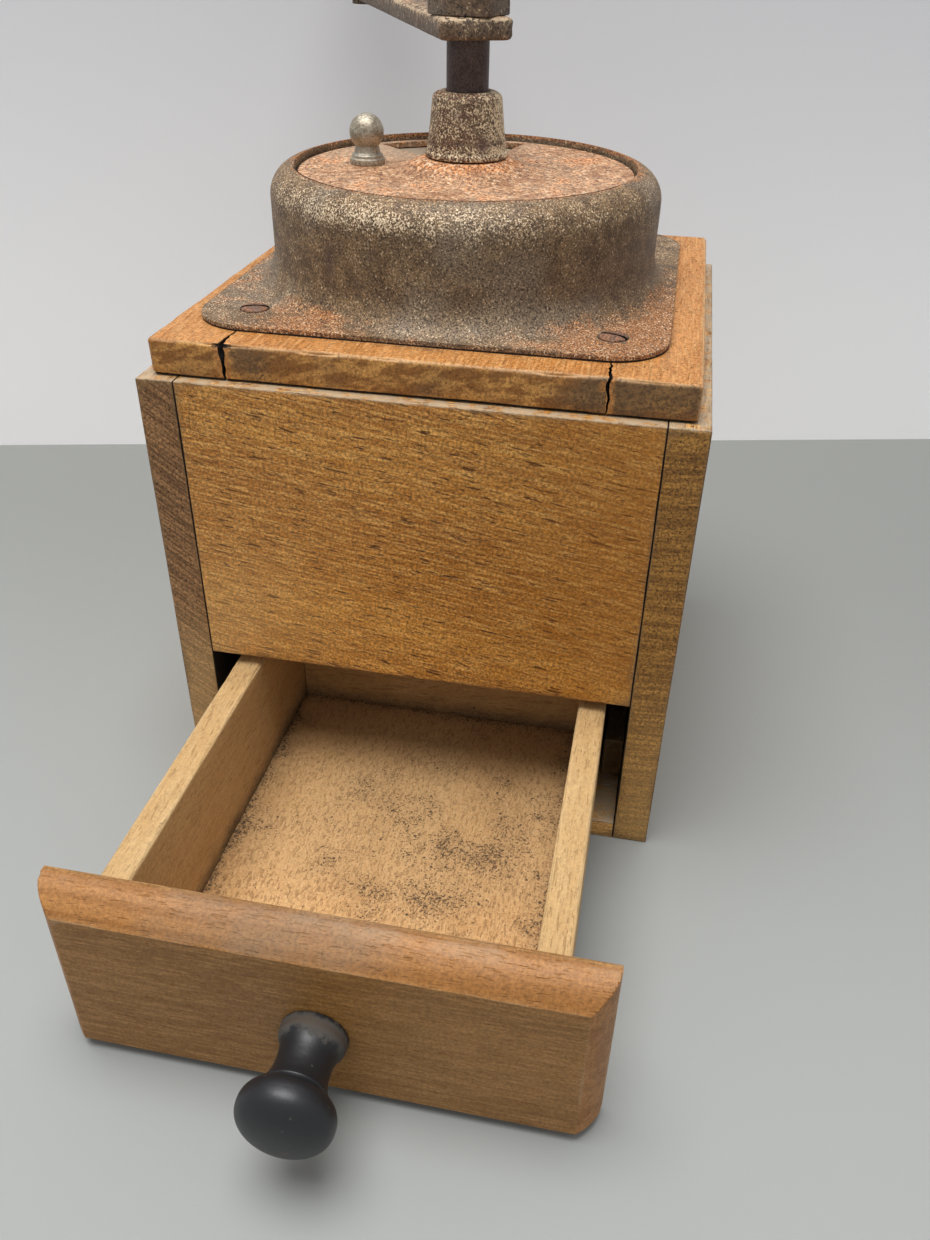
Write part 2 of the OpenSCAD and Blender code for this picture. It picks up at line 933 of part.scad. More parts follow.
module knob_washer() {
    color(nickel)
        at_knob()
            difference() {
                translate([0, 0, nut_z])
                    cylinder(d = washer_d, h = washer_t);
                translate([0, 0, nut_z - cut])
                    cylinder(d = pin_d + 2 * fit_gap, h = washer_t + 2 * cut);
            }
}

module crank_knob() {
    crown_r = knob_d / 2 - knob_waist_d / 4;
    crown_x = knob_d / 2 - crown_r;
    crown_z = knob_h - crown_r;
    color(black_wood)
        at_knob()
            translate([0, 0, knob_z])
                difference() {
                    rotate_extrude()
                        intersection() {
                            union() {
                                square([knob_foot_d / 2, knob_foot_h]);
                                waist_outline(knob_foot_d / 2, knob_waist_d / 2, knob_foot_h, crown_z);
                                translate([crown_x, crown_z])
                                    circle(crown_r);
                                translate([0, crown_z])
                                    square([crown_x, crown_r]);
                            }
                            square(knob_h);
                        }
                    translate([0, 0, -cut])
                        cylinder(d = pin_d + 2 * turn_gap, h = knob_h + 2 * cut);
                    translate([0, 0, pin_seat - knob_z])
                        cylinder(d = pin_head_d + 2 * slide_gap, h = knob_h);
                }
}

// The drawer knob's screw, pointing to the front, widened all round by room
module pull_screw(room) {
    translate([0, front_y, pull_z])
        rotate([-90, 0, 0])
            countersunk(pull_screw_head_d, pull_screw_head_h, pull_screw_d, front_t + pull_screw_bite, room);
}

module front_plan() {
    half = front_w / 2;
    polygon([[-half, 0], [half, 0], [half, -bevel_edge], [half - bevel_w, -front_t],
        [bevel_w - half, -front_t], [-half, -bevel_edge]]);
}

module front_side() {
    polygon([[0, 0], [0, front_h], [-bevel_edge, front_h], [-front_t, front_h - bevel_w], [-front_t, 0]]);
}

module drawer_front() {
    color(beech)
        difference() {
            translate([0, front_y, front_foot])
                intersection() {
                    linear_extrude(front_h)
                        front_plan();
                    rotate([90, 0, 90])
                        linear_extrude(2 * front_w, center = true)
                            front_side();
                }
            pull_screw(fit_gap);
        }
}

// A nail that points along +X from the left wall's outer face, widened all round by room
module nail(room) {
    rotate([0, 90, 0]) {
        cylinder(d = nail_d + 2 * room, h = nail_l);
        cylinder(d = nail_head_d + 2 * room, h = nail_head_t);
    }
}

// Two nails through each side wall into the back wall
module at_nails() {
    for (side = [0, 1], level = [0.35, 0.75])
        mirror([side, 0, 0])
            translate([-drawer_w / 2, drawer_back + wall_t / 2, drawer_z + level * wall_h])
                children();
}

module drawer_side_wall(side) {
    color(pale_beech)
        difference() {
            translate([side * (drawer_w - wall_t) / 2, 0, 0])
                block(wall_t, front_y, drawer_back + wall_t, drawer_z, drawer_z + wall_h);
            at_nails() nail(fit_gap);
        }
}

module drawer_left_wall() {
    drawer_side_wall(-1);
}

module drawer_right_wall() {
    drawer_side_wall(1);
}

module drawer_back_wall() {
    color(pale_beech)
        difference() {
            block(drawer_inner_w, drawer_back, drawer_back + wall_t, drawer_z, drawer_z + wall_h);
            at_nails() nail(fit_gap);
        }
}

module drawer_floor() {
    color(pale_beech)
        block(drawer_inner_w, front_y, drawer_back, drawer_z, drawer_z + floor_t);
}

module drawer_knob() {
    foot_r = pull_foot_d / 2;
    ball_start = pull_l - pull_ball_l;
    edge_r = pull_ball_l / 2;
    edge_x = pull_ball_d / 2 - edge_r;
    color(black_wood)
        difference() {
            translate([0, front_y - front_t, pull_z])
                rotate([90, 0, 0])
                    rotate_extrude()
                        intersection() {
                            union() {
                                square([foot_r, pull_foot_l]);
                                waist_outline(foot_r, pull_waist_d / 2, pull_foot_l, ball_start + edge_r / 2);
                                translate([0, ball_start])
                                    square([edge_x, pull_ball_l]);
                                translate([edge_x, ball_start + edge_r])
                                    circle(edge_r);
                            }
                            square(pull_l);
                        }
            pull_screw(fit_gap);
        }
}

module drawer_knob_screw() {
    color(nickel)
        pull_screw(0);
}

module drawer_nails() {
    color(dark_iron)
        at_nails() nail(0);
}

left_side_panel();
right_side_panel();
front_panel();
back_panel();
base_board();
left_guide_strip();
right_guide_strip();
top_board();
hood();
hood_flange();
hood_plate();
hood_screws();
collar();
collar_lock_nut();
lid_disc();
lid_knob();
mill_body();
outer_burr();
lower_bridge();
bridge_screws();
adjusting_wheel();
thrust_stem();
spindle();
inner_burr();
drive_pin();
crank_arm();
crank_nut();
knob_pin();
knob_washer();
crank_knob();
drawer_front();
drawer_left_wall();
drawer_right_wall();
drawer_back_wall();
drawer_floor();
drawer_knob();
drawer_knob_screw();
drawer_nails();
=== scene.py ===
import math

import bmesh
import bpy
import numpy as np
from mathutils import Matrix, Vector, noise


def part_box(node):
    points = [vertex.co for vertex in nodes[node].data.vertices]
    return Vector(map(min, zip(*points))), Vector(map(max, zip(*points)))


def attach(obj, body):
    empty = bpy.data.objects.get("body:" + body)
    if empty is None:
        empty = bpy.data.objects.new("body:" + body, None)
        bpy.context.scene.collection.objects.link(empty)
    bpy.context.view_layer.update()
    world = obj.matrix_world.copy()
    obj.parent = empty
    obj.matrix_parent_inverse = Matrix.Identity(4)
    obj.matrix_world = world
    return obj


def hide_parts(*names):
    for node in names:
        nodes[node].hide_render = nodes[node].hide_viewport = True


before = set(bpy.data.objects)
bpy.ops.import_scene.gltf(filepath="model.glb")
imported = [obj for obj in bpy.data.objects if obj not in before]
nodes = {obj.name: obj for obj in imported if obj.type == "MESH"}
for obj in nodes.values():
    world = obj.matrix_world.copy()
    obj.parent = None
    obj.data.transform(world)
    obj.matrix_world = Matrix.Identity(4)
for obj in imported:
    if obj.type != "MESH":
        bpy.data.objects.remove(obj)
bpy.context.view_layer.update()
scene = bpy.context.scene
mm = 0.001  # sizes below are in millimetres
# Painted shade: this mark value paints gaps, slots, crack walls and the undersides of edges near black
gapShadeMark = 3  # soil mark of a gap that shows black


# Corners of a CAD node in millimetres
def boxOf(node):
    low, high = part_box(node)
    return np.array(low) * 1000, np.array(high) * 1000


lidLow, lidHigh = boxOf("lid_disc")
millX, millY = (lidLow + lidHigh)[:2] / 2
boardTop = boxOf("top_board")[1][2]
print("stage: frame loaded,", len(nodes), "nodes")


# A node material: every layer is worked out from object coordinates and point attributes
class Finish:
    def __init__(self, name):
        self.material = bpy.data.materials.new(name)
        self.material.use_nodes = True
        self.tree = self.material.node_tree
        self.shader = self.tree.nodes["Principled BSDF"]
        self.place = self.add("ShaderNodeTexCoord").outputs["Object"]

    def add(self, kind, **settings):
        node = self.tree.nodes.new(kind)
        for name, value in settings.items():
            setattr(node, name, value)
        return node

    def feed(self, socket, value):
        if isinstance(value, bpy.types.NodeSocket):
            self.tree.links.new(value, socket)
        elif isinstance(value, tuple) and len(value) == 3 and socket.type == "RGBA":
            socket.default_value = (*value, 1)
        else:
            socket.default_value = value

    def mark(self, name):
        return self.add("ShaderNodeAttribute", attribute_name=name).outputs["Fac"]

    def warp(self, scale=(1, 1, 1), turn=(0, 0, 0), source=None):
        node = self.add("ShaderNodeMapping")
        self.feed(node.inputs["Vector"], source or self.place)
        node.inputs["Scale"].default_value = scale
        node.inputs["Rotation"].default_value = [math.radians(a) for a in turn]
        return node.outputs[0]

    def cloud(self, scale=1.0, source=None, detail=4.0, rough=0.55):
        node = self.add("ShaderNodeTexNoise")
        self.feed(node.inputs["Vector"], source or self.place)
        node.inputs["Scale"].default_value = scale
        node.inputs["Detail"].default_value = detail
        node.inputs["Roughness"].default_value = rough
        return node.outputs[0]

    # Spots in some of the cells: 1 inside a spot, 0 outside
    def spots(self, share, size, scale):
        node = self.add("ShaderNodeTexVoronoi")
        self.feed(node.inputs["Vector"], self.place)
        node.inputs["Scale"].default_value = scale
        chance = self.add("ShaderNodeSeparateColor")
        self.feed(chance.inputs[0], node.outputs["Color"])
        inside = self.span(node.outputs["Distance"], size, size * 0.45)
        picked = self.calc("LESS_THAN", chance.outputs[0], share)
        return self.calc("MULTIPLY", inside, picked)

    def span(self, value, low, high, bottom=0.0, top=1.0):
        node = self.add("ShaderNodeMapRange", interpolation_type="SMOOTHSTEP")
        for socket, content in zip(node.inputs, (value, low, high, bottom, top)):
            self.feed(socket, content)
        return node.outputs[0]

    def calc(self, operation, first, second):
        node = self.add("ShaderNodeMath", operation=operation)
        self.feed(node.inputs[0], first)
        self.feed(node.inputs[1], second)
        return node.outputs[0]

    def both(self, first, second):
        return self.calc("MULTIPLY", first, second)

    def total(self, *shares):
        found = shares[0]
        for share in shares[1:]:
            found = self.calc("ADD", found, share)
        return found

    def blend(self, share, first, second):
        node = self.add("ShaderNodeMix", data_type="RGBA")
        self.feed(node.inputs[0], share)
        self.feed(node.inputs[6], first)
        self.feed(node.inputs[7], second)
        return node.outputs[2]

    # Brightens and darkens a colour by up to a share, following a value round 0.5
    def fleck(self, colour, value, share):
        return self.scaled(colour, self.span(value, 0.3, 0.7, 1 - share, 1 + share))

    def scaled(self, colour, share):
        node = self.add("ShaderNodeVectorMath", operation="SCALE")
        self.feed(node.inputs[0], colour)
        self.feed(node.inputs["Scale"], share)
        return node.outputs[0]

    def close(self, colour, rough, height, depth, metal=0.0, gloss=0.5):
        bump = self.add("ShaderNodeBump")
        bump.inputs["Strength"].default_value = 1.0
        bump.inputs["Distance"].default_value = depth
        self.feed(bump.inputs["Height"], height)
        for socket, value in (("Base Color", colour), ("Roughness", rough), ("Metallic", metal),
                              ("Specular IOR Level", gloss), ("Normal", bump.outputs[0])):
            self.feed(self.shader.inputs[socket], value)
        return self.material


# Painted shade: the near black painted into gaps, slots, cracks and under edges
gapShadeTint = (0.010, 0.007, 0.005)  # deep gaps
ledgeDust = (0.42, 0.325, 0.215)  # dust on upward edges


# Wood: tone, rings, fibre, end grain, pores, sun and shade, worn edges, dirt, powder and dust, in that order
def woodFinish(name, look):
    f = Finish(name)
    along = f.warp(turn=look["turn"])
    ends, edge, soil, dust = (f.mark(name) for name in ("ends", "edge", "soil", "dust"))
    tone = f.cloud(1, f.warp((9, 32, 32), source=along), 3)
    rings = f.cloud(1, f.warp(look["rings"], source=along), 3, 0.6)
    fibre = f.cloud(1, f.warp((110, 1600, 1600), source=along), 3, 0.65)
    blot = f.cloud(70, detail=6, rough=0.65)
    speck = f.cloud(1500, detail=2, rough=0.8)
    dashes = f.cloud(1, f.warp(look["pores"], source=along), 2, 0.55)
    short = f.warp(tuple(1.9 * s for s in look["pores"]), source=along)
    pore = f.span(dashes, look["poreFrom"], look["poreFrom"] + 0.08)
    pore = f.calc("MAXIMUM", pore, f.both(f.span(f.cloud(1, short, 2), 0.6, 0.68), 0.6))
    colour = f.blend(f.span(tone, 0.38, 0.62), look["dark"], look["base"])
    colour = f.blend(f.both(f.span(rings, 0.42, 0.64), look["ringDepth"]), colour, look["ringTint"])
    colour = f.blend(f.both(f.span(fibre, 0.42, 0.66), look["fibreDepth"]), colour, look["pale"])
    grainEnd = f.blend(f.span(rings, 0.40, 0.60), look["endBase"], look["endDark"])
    colour = f.blend(f.span(ends, 0.35, 0.8), colour, grainEnd)
    colour = f.blend(f.both(pore, look["poreDepth"]), colour, look["poreTint"])
    # lift makes the colour brighter above 0 and darker below, shifting it towards sunTint and shadeTint; on
    # the drawer floor it is painted light
    lift = f.mark("lift")
    # speck: fine brighter and darker flecks, partly grain and partly painted glints on the varnish
    colour = f.scaled(f.fleck(colour, speck, look["speck"]), f.calc("ADD", lift, 1))
    colour = f.blend(f.span(lift, 0.08, 0.7, 0, 0.5), colour, look["sunTint"])
    colour = f.blend(f.span(lift, 0.1, -0.1, 0, 0.4), colour, look["shadeTint"])
    rubbed = f.both(f.span(f.total(edge, blot), 1.15, 1.6), look["wear"])
    colour = f.blend(rubbed, colour, look["worn"])
    grimy = f.span(f.total(soil, f.both(blot, 0.9)), 0.62, 1.15)
    colour = f.blend(f.both(grimy, look["soilDepth"]), colour, look["soilTint"])
    grains = f.total(f.cloud(look["grains"], detail=2, rough=0.7), f.both(grimy, 0.17))
    powder = f.both(f.span(grains, 0.66, 0.73), look["powder"])
    crumbs = f.spots(f.both(f.span(grimy, 0.1, 0.9), look["crumbs"]), 0.26, 520)
    powder = f.calc("MAXIMUM", powder, f.both(crumbs, 0.9))
    colour = f.blend(powder, colour, look["powderTint"])
    dusty = f.both(dust, f.span(f.cloud(300, detail=5, rough=0.7), 0.32, 0.58))
    colour = f.blend(dusty, colour, ledgeDust)
    # Painted shade: points marked as a gap are painted near black
    colour = f.blend(f.span(soil, 1.4, 2.2), colour, gapShadeTint)
    rough = f.span(f.total(pore, f.both(grimy, 0.6)), 0, 1, look["rough"], 0.85)
    height = f.total(f.both(fibre, 0.5), f.both(pore, -0.9), f.both(blot, 0.3), f.both(powder, 0.8))
    return f.close(colour, rough, height, look["relief"], gloss=look["gloss"])


# Old plated steel: mottled body, rust, pale flakes of plating and dark pits
def pittedFinish(name, look):
    f = Finish(name)
    wear, soil, calm = f.mark("wear"), f.mark("soil"), f.mark("calm")
    broad = f.cloud(look["broad"], detail=3)
    mottle = f.cloud(look["mottle"], detail=5, rough=0.7)
    grit = f.cloud(look["grit"], detail=2, rough=0.8)
    plating = f.cloud(look["flakes"], f.warp(turn=(40, 25, 70)), 2, 0.8)
    colour = f.blend(f.span(mottle, 0.38, 0.60), look["dark"], look["body"])
    colour = f.blend(f.both(f.span(broad, 0.44, 0.60), look["coolDepth"]), colour, look["cool"])
    level = f.total(f.both(broad, 0.55), f.both(mottle, 0.45), f.both(soil, 0.5))
    rusty = f.span(level, look["rustFrom"], look["rustFrom"] + 0.16)
    rust = f.blend(f.span(grit, 0.4, 0.62), look["rustDark"], look["rust"])
    colour = f.blend(f.both(rusty, look["rustDepth"]), colour, rust)
    colour = f.fleck(colour, grit, look["speck"])
    share = f.total(f.both(wear, look["flakeWear"]),
                    f.both(f.span(mottle, 0.38, 0.62), look["flakeShare"]))
    flake = f.span(f.total(plating, f.both(share, 0.2)), 0.65, 0.70)
    colour = f.blend(f.both(flake, look["paleDepth"]), colour, look["pale"])
    pit = f.span(plating, look["pitBelow"], look["pitBelow"] - 0.05)
    colour = f.blend(f.both(pit, look["pitDepth"]), colour, look["pit"])
    # calm tints marked patches; on the hood this includes painted shade
    colour = f.blend(f.both(calm, f.span(mottle, 0.2, 0.5, 0.55, 0.95)), colour, look["calmTint"])
    # Painted shade: points marked as a gap are painted near black
    colour = f.blend(f.span(soil, 1.4, 2.2), colour, gapShadeTint)
    metal = f.span(rusty, 0, 1, look["metal"], 0.05)
    rough = f.span(f.total(f.both(grit, 0.5), f.both(rusty, 0.5)), 0.1, 0.9, look["rough"], 0.88)
    height = f.total(f.both(grit, 0.7), f.both(mottle, 0.5), f.both(pit, -0.8), f.both(flake, 0.25))
    return f.close(colour, rough, height, look["relief"], metal)


# Values between -1 and 1 that change smoothly over a distance in millimetres
def fuzz(points, size, seed):
    offset = Vector((seed * 7.31, seed * 3.17, seed * 5.73))
    return np.array([noise.noise(Vector(p) / size + offset) for p in points])


def shadeAt(mesh, angle):
    mesh.shade_smooth()
    mesh.set_sharp_from_angle(angle=math.radians(angle))


def makePiece(name, points, faces, marks, angle=40):
    mesh = bpy.data.meshes.new(name)
    mesh.from_pydata((np.asarray(points) * mm).tolist(), [], faces)
    for label, values in marks.items():
        layer = mesh.attributes.new(label, "FLOAT", "POINT")
        layer.data.foreach_set("value", np.asarray(values, np.float32))
    work = bmesh.new()
    work.from_mesh(mesh)
    bmesh.ops.remove_doubles(work, verts=work.verts, dist=1e-6)
    bmesh.ops.recalc_face_normals(work, faces=work.faces)
    work.to_mesh(mesh)
    work.free()
    shadeAt(mesh, angle)
    piece = bpy.data.objects.new(name, mesh)
    scene.collection.objects.link(piece)
    return piece


# Cuts tools out of a piece and takes the tools away
def carve(piece, tools, angle=40):
    for tool in tools:
        cut = piece.modifiers.new("cut", "BOOLEAN")
        cut.operation, cut.solver, cut.object = "DIFFERENCE", "EXACT", tool
    whole = piece.evaluated_get(bpy.context.evaluated_depsgraph_get())
    mesh = bpy.data.meshes.new_from_object(whole)
    piece.modifiers.clear()
    piece.data = mesh
    mesh.name = piece.name
    shadeAt(mesh, angle)
    for tool in tools:
        bpy.data.objects.remove(tool)


def dress(piece, body, slot, material, *stoodFor):
    piece.data.materials.clear()
    piece.data.materials.append(material)
    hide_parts(*stoodFor)
    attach(piece, body)
    return piece


# Points of rings about an upright axis: each has a height, and one radius or one for each angle
def ringPoints(rings, angles):
    return np.concatenate([np.stack([r * np.cos(angles), r * np.sin(angles), z + 0 * angles], 1)
                           for r, z in rings])


# Quads between rings; closed ones go on from the last ring to the first
def ringFaces(rings, steps, closed):
    faces = []
    for ring in range(rings if closed else rings - 1):
        first, second = ring * steps, (ring + 1) % rings * steps
        for i in range(steps):
            j = (i + 1) % steps
            faces.append((first + i, first + j, second + j, second + i))
    return faces


def sheetFaces(ids):
    quads = [ids[:-1, :-1], ids[1:, :-1], ids[1:, 1:], ids[:-1, 1:]]
    return np.stack(quads, -1).reshape(-1, 4).tolist()


# Quads of two like sheets, one numbered after the other, and of the rim between them
def slabFaces(ids):
    count = ids.size
    rim = [int(i) for i in (*ids[:, 0], *ids[-1, 1:], *ids[-2::-1, -1], *ids[0, -2:0:-1])]
    faces = sheetFaces(ids) + sheetFaces(ids + count)
    return faces + [(a, b, b + count, a + count) for a, b in zip(rim, rim[1:] + rim[:1])]


# Degrees round the axis from a direction, -180 to 180
def offFrom(points, angle):
    turn = np.degrees(np.arctan2(points[:, 1], points[:, 0]))
    return (turn - angle + 180) % 360 - 180


# 1 in a direction, 0 beyond a width to either side of it
def near(points, angle, width):
    return np.clip(1 - np.abs(offFrom(points, angle)) / width, 0, 1)


# A board with soft, slightly knocked edges
def makeBoard(name, low, high, grain, shape, soil=None):
    radius = shape["radius"]
    soft = radius * np.tan(np.radians([45, 30, 15]))
    axes = []
    for start, end in zip(low + radius, high - radius):
        count = max(2, round((end - start) / shape["cell"]))
        middle = np.linspace(start, end, count + 1)
        axes.append(np.concatenate([start - soft, middle, end + soft[::-1]]))
    shell = np.ones([len(a) for a in axes], bool)
    shell[1:-1, 1:-1, 1:-1] = False
    ids = np.full(shell.shape, -1)
    ids[shell] = np.arange(shell.sum())
    grid = np.stack(np.meshgrid(*axes, indexing="ij"), -1)[shell]
    faces = []
    for axis in range(3):
        for end in (0, -1):
            faces += sheetFaces(np.take(ids, end, axis=axis))
    inner = np.clip(grid, low + radius, high - radius)
    away = grid - inner
    normal = away / np.linalg.norm(away, axis=1, keepdims=True)
    corner = (1 - np.abs(normal).max(1)) / 0.3
    knocks = np.clip(fuzz(grid, shape["knock"], shape["seed"]) + 0.15, 0, 1)
    ripple = fuzz(grid, 24, shape["seed"] + 1) * shape["ripple"]
    points = inner + normal * (radius - np.clip(corner, 0, 1) * knocks * shape["dent"]
                               - np.abs(ripple))[:, None]
    edge = np.sort(np.minimum(grid - low, high - grid), axis=1)[:, 1]
    ledge = np.clip(normal[:, 2], 0, 1) * shape.get("dust", 0)
    marks = {"edge": np.clip(1 - edge / 3, 0, 1), "ends": np.abs(normal[:, grain]), "dust": ledge,
             "soil": soil(grid, normal, edge) if soil else np.zeros(len(grid)),
             "lift": shape["lift"](grid) if "lift" in shape else np.zeros(len(grid))}
    return makePiece(name, points, faces, marks, 50)


# Rounds the corners of an outline of (radius, height, rounding) points
def soften(outline, closed, steps=4):
    flat = np.array([p[:2] for p in outline], float)
    found = []
    for i, (*_, rounding) in enumerate(outline):
        here = flat[i]
        if rounding == 0 or (not closed and i in (0, len(outline) - 1)):
            found.append(here)
            continue
        before, after = flat[i - 1] - here, flat[(i + 1) % len(flat)] - here
        lengths = np.linalg.norm(before), np.linalg.norm(after)
        reach = min(rounding, 0.48 * lengths[0], 0.48 * lengths[1])
        start, end = here + before / lengths[0] * reach, here + after / lengths[1] * reach
        for t in np.linspace(0, 1, steps + 1):
            found.append((1 - t) ** 2 * start + 2 * t * (1 - t) * here + t * t * end)
    return np.array(found)


def arc(x, z, radius, start, end, count):
    angles = np.radians(np.linspace(start, end, count))
    return [(x + radius * math.cos(a), z + radius * math.sin(a), 0) for a in angles]


# Turns an outline about an upright axis: a closed outline makes a ring, an open one a solid
def turned(outline, closed, steps):
    angles = np.linspace(0, 2 * math.pi, steps, endpoint=False)
    return ringPoints(outline, angles), ringFaces(len(outline), steps, closed)


def makeLathe(name, outline, closed, centre, marks=None, steps=128):
    points, faces = turned(soften(outline, closed), closed, steps)
    found = {key: rule(points) for key, rule in (marks or {}).items()}
    return makePiece(name, points + np.array(centre), faces, found)


def makeRod(name, radius, z0, z1, centre, steps=96):
    outline = np.array([(0, z0), (radius, z0), (radius, z1), (0, z1)], float)
    points, faces = turned(outline, False, steps)
    return makePiece(name, points + np.array([*centre, 0]), faces, {})


# Case boards: varnished beech, grain along Y on the sides and along X in front
caseShape = {"radius": 0.32, "cell": 2.5, "knock": 9, "dent": 0.5, "ripple": 0.12, "dust": 0.85}
honey = {"base": (0.46, 0.206, 0.037), "dark": (0.34, 0.132, 0.020), "pale": (0.70, 0.395, 0.116),
         "ringTint": (0.28, 0.105, 0.018), "ringDepth": 0.5, "fibreDepth": 0.75, "speck": 0.55,
         "endBase": (0.33, 0.172, 0.068), "endDark": (0.14, 0.068, 0.026),
         "poreTint": (0.10, 0.033, 0.007), "poreDepth": 0.9, "poreFrom": 0.6,
         "worn": (0.50, 0.30, 0.12), "wear": 0.35, "soilTint": (0.085, 0.050, 0.024),
         "soilDepth": 0.8, "powder": 0.5, "powderTint": (0.10, 0.055, 0.025), "grains": 1300,
         "sunTint": (0.56, 0.365, 0.145), "shadeTint": (0.40, 0.142, 0.006), "crumbs": 0.0, "rough": 0.45,
         "gloss": 0.35, "relief": 0.00012}
sideGrain = {"rings": (9, 90, 2300), "pores": (170, 1700, 1700)}
frontLook = {**honey, "turn": (0, -9, 0), "rings": (9, 40, 330), "pores": (170, 1100, 1250),
             "fibreDepth": 0.6, "poreDepth": 0.95, "poreTint": (0.085, 0.028, 0.006)}
leftLook = {**honey, **sideGrain, "turn": (0, -36, -90), "ringDepth": 0.55}
rightLook = {**honey, **sideGrain, "turn": (0, 3, -90), "endBase": (0.34, 0.168, 0.036),
             "endDark": (0.195, 0.090, 0.018), "rings": (9, 70, 1300)}


seamX = boxOf("front_panel")[1][0]


# Painted shade (near black) in the joints beside the front panel; dirt on the edges, and darker towards the
# bottom
def caseSoilAndShade(points, normal, edge):
    foot = np.exp(-points[:, 2] / 5) * 0.15
    found = foot + np.exp(-edge / 0.4) * 0.75
    # Painted shade: the joint lines beside the front panel
    found[np.abs(np.abs(points[:, 0]) - seamX) < 0.1] = gapShadeMark
    return found


# The front panel is paler to the left and low down, the side panels low down
def panelLift(points):
    x, z = points[:, 0], points[:, 2]
    corner = np.exp(-((x + 45) / 30) ** 2 - ((z - 50) / 25) ** 2)
    return 0.12 - 0.16 * np.clip(x / 45, -0.3, 1) + 0.3 * corner


def sideLift(points):
    low = np.clip((65 - points[:, 2]) / 55, 0, 1)
    return 0.08 + np.where(points[:, 0] < 0, 0.95, 0.45) * low


caseBoards = [("leftPanel", "left_side_panel", 1, leftLook, sideLift, 2),
              ("rightPanel", "right_side_panel", 1, rightLook, sideLift, 3),
              ("frontPanel", "front_panel", 0, frontLook, panelLift, 4),
              ("backPanel", "back_panel", 0, {**frontLook, "turn": (0, 4, 0)}, panelLift, 5),
              ("baseBoard", "base_board", 0, {**frontLook, "turn": (90, 0, 3)}, sideLift, 6)]
for name, node, grain, look, lift, seed in caseBoards:
    board = makeBoard(name, *boxOf(node), grain, {**caseShape, "lift": lift, "seed": seed}, caseSoilAndShade)
    dress(board, "case", "beech", woodFinish(name + "Wood", look), node)

# Guide strips and drawer: pale unvarnished beech
pale = {"base": (0.52, 0.335, 0.150), "dark": (0.45, 0.270, 0.108), "pale": (0.59, 0.410, 0.205),
        "ringTint": (0.42, 0.240, 0.095), "ringDepth": 0.4, "fibreDepth": 0.45, "speck": 0.14,
        "rings": (8, 40, 300), "endBase": (0.46, 0.275, 0.120), "endDark": (0.34, 0.190, 0.078),
        "poreTint": (0.22, 0.115, 0.045), "poreDepth": 0.5, "poreFrom": 0.6,
        "pores": (230, 1500, 1500), "worn": (0.66, 0.48, 0.26), "wear": 0.4,
        "soilTint": (0.10, 0.070, 0.045), "soilDepth": 0.6, "powder": 0.5,
        "powderTint": (0.050, 0.033, 0.022), "grains": 2000, "sunTint": (0.66, 0.47, 0.24),
        "shadeTint": (0.52, 0.335, 0.150), "crumbs": 0.12, "rough": 0.6, "gloss": 0.3, "relief": 0.00012}
stripWood = woodFinish("stripWood", {**pale, "turn": (0, 20, -90), "base": (0.27, 0.160, 0.068),
                                     "dark": (0.21, 0.120, 0.048), "pale": (0.33, 0.205, 0.095),
                                     "endBase": (0.22, 0.125, 0.052), "shadeTint": (0.27, 0.160, 0.068)})
stripShape = {**caseShape, "radius": 0.4, "seed": 8, "dust": 0.3}
for name, node in (("leftStrip", "left_guide_strip"), ("rightStrip", "right_guide_strip")):
    strip = makeBoard(name, *boxOf(node), 1, stripShape)
    dress(strip, "case", "pale_beech", stripWood, node)
print("stage: case boards")

# Top board: worn varnish, dirty end grain in front, two cracks along the grain
topShape = {"radius": 0.9, "cell": 2.2, "knock": 7, "dent": 0.9, "ripple": 0.18, "seed": 11}
topLook = {**honey, "turn": (0, 12, -90), "base": (0.45, 0.202, 0.064), "dark": (0.37, 0.148, 0.038),
           "pale": (0.54, 0.292, 0.115), "ringTint": (0.32, 0.124, 0.030), "rings": (10, 150, 420),
           "endBase": (0.54, 0.275, 0.078), "endDark": (0.22, 0.092, 0.025), "pores": (170, 1500, 1500),
           "poreDepth": 0.45, "poreFrom": 0.61, "worn": (0.56, 0.34, 0.155), "wear": 0.7, "speck": 0.4,
           "soilTint": (0.13, 0.078, 0.038), "powder": 0.7, "rough": 0.5}
# Cracks: place along X, width, sway, jag, seed
crackDepth = 15
crackSpots = [(-40.8, 1.25, 0.6, 0.25, 21), (39.0, 0.85, 0.9, 0.55, 22)]


# Dirt on the front end grain, dirt and painted shade round the edge of the hood's flange, and painted shade
# along the board's lower edge
def topSoilAndShade(points, normal, edge):
    front = np.clip(-normal[:, 1], 0, 1) * (0.27 + 0.4 * fuzz(points, 11, 12)
                                            + 0.2 * np.clip(points[:, 0] / 45, 0, 1))
    hood = np.abs(points[:, :2] - (millX, millY)).max(1)
    found = front + np.exp(-np.abs(hood - 51.5) / 1.2) * 0.5
    # Painted shade: the board's lower edge painted near black
    found[points[:, 2] < points[:, 2].min() + 0.45] = gapShadeMark
    return found


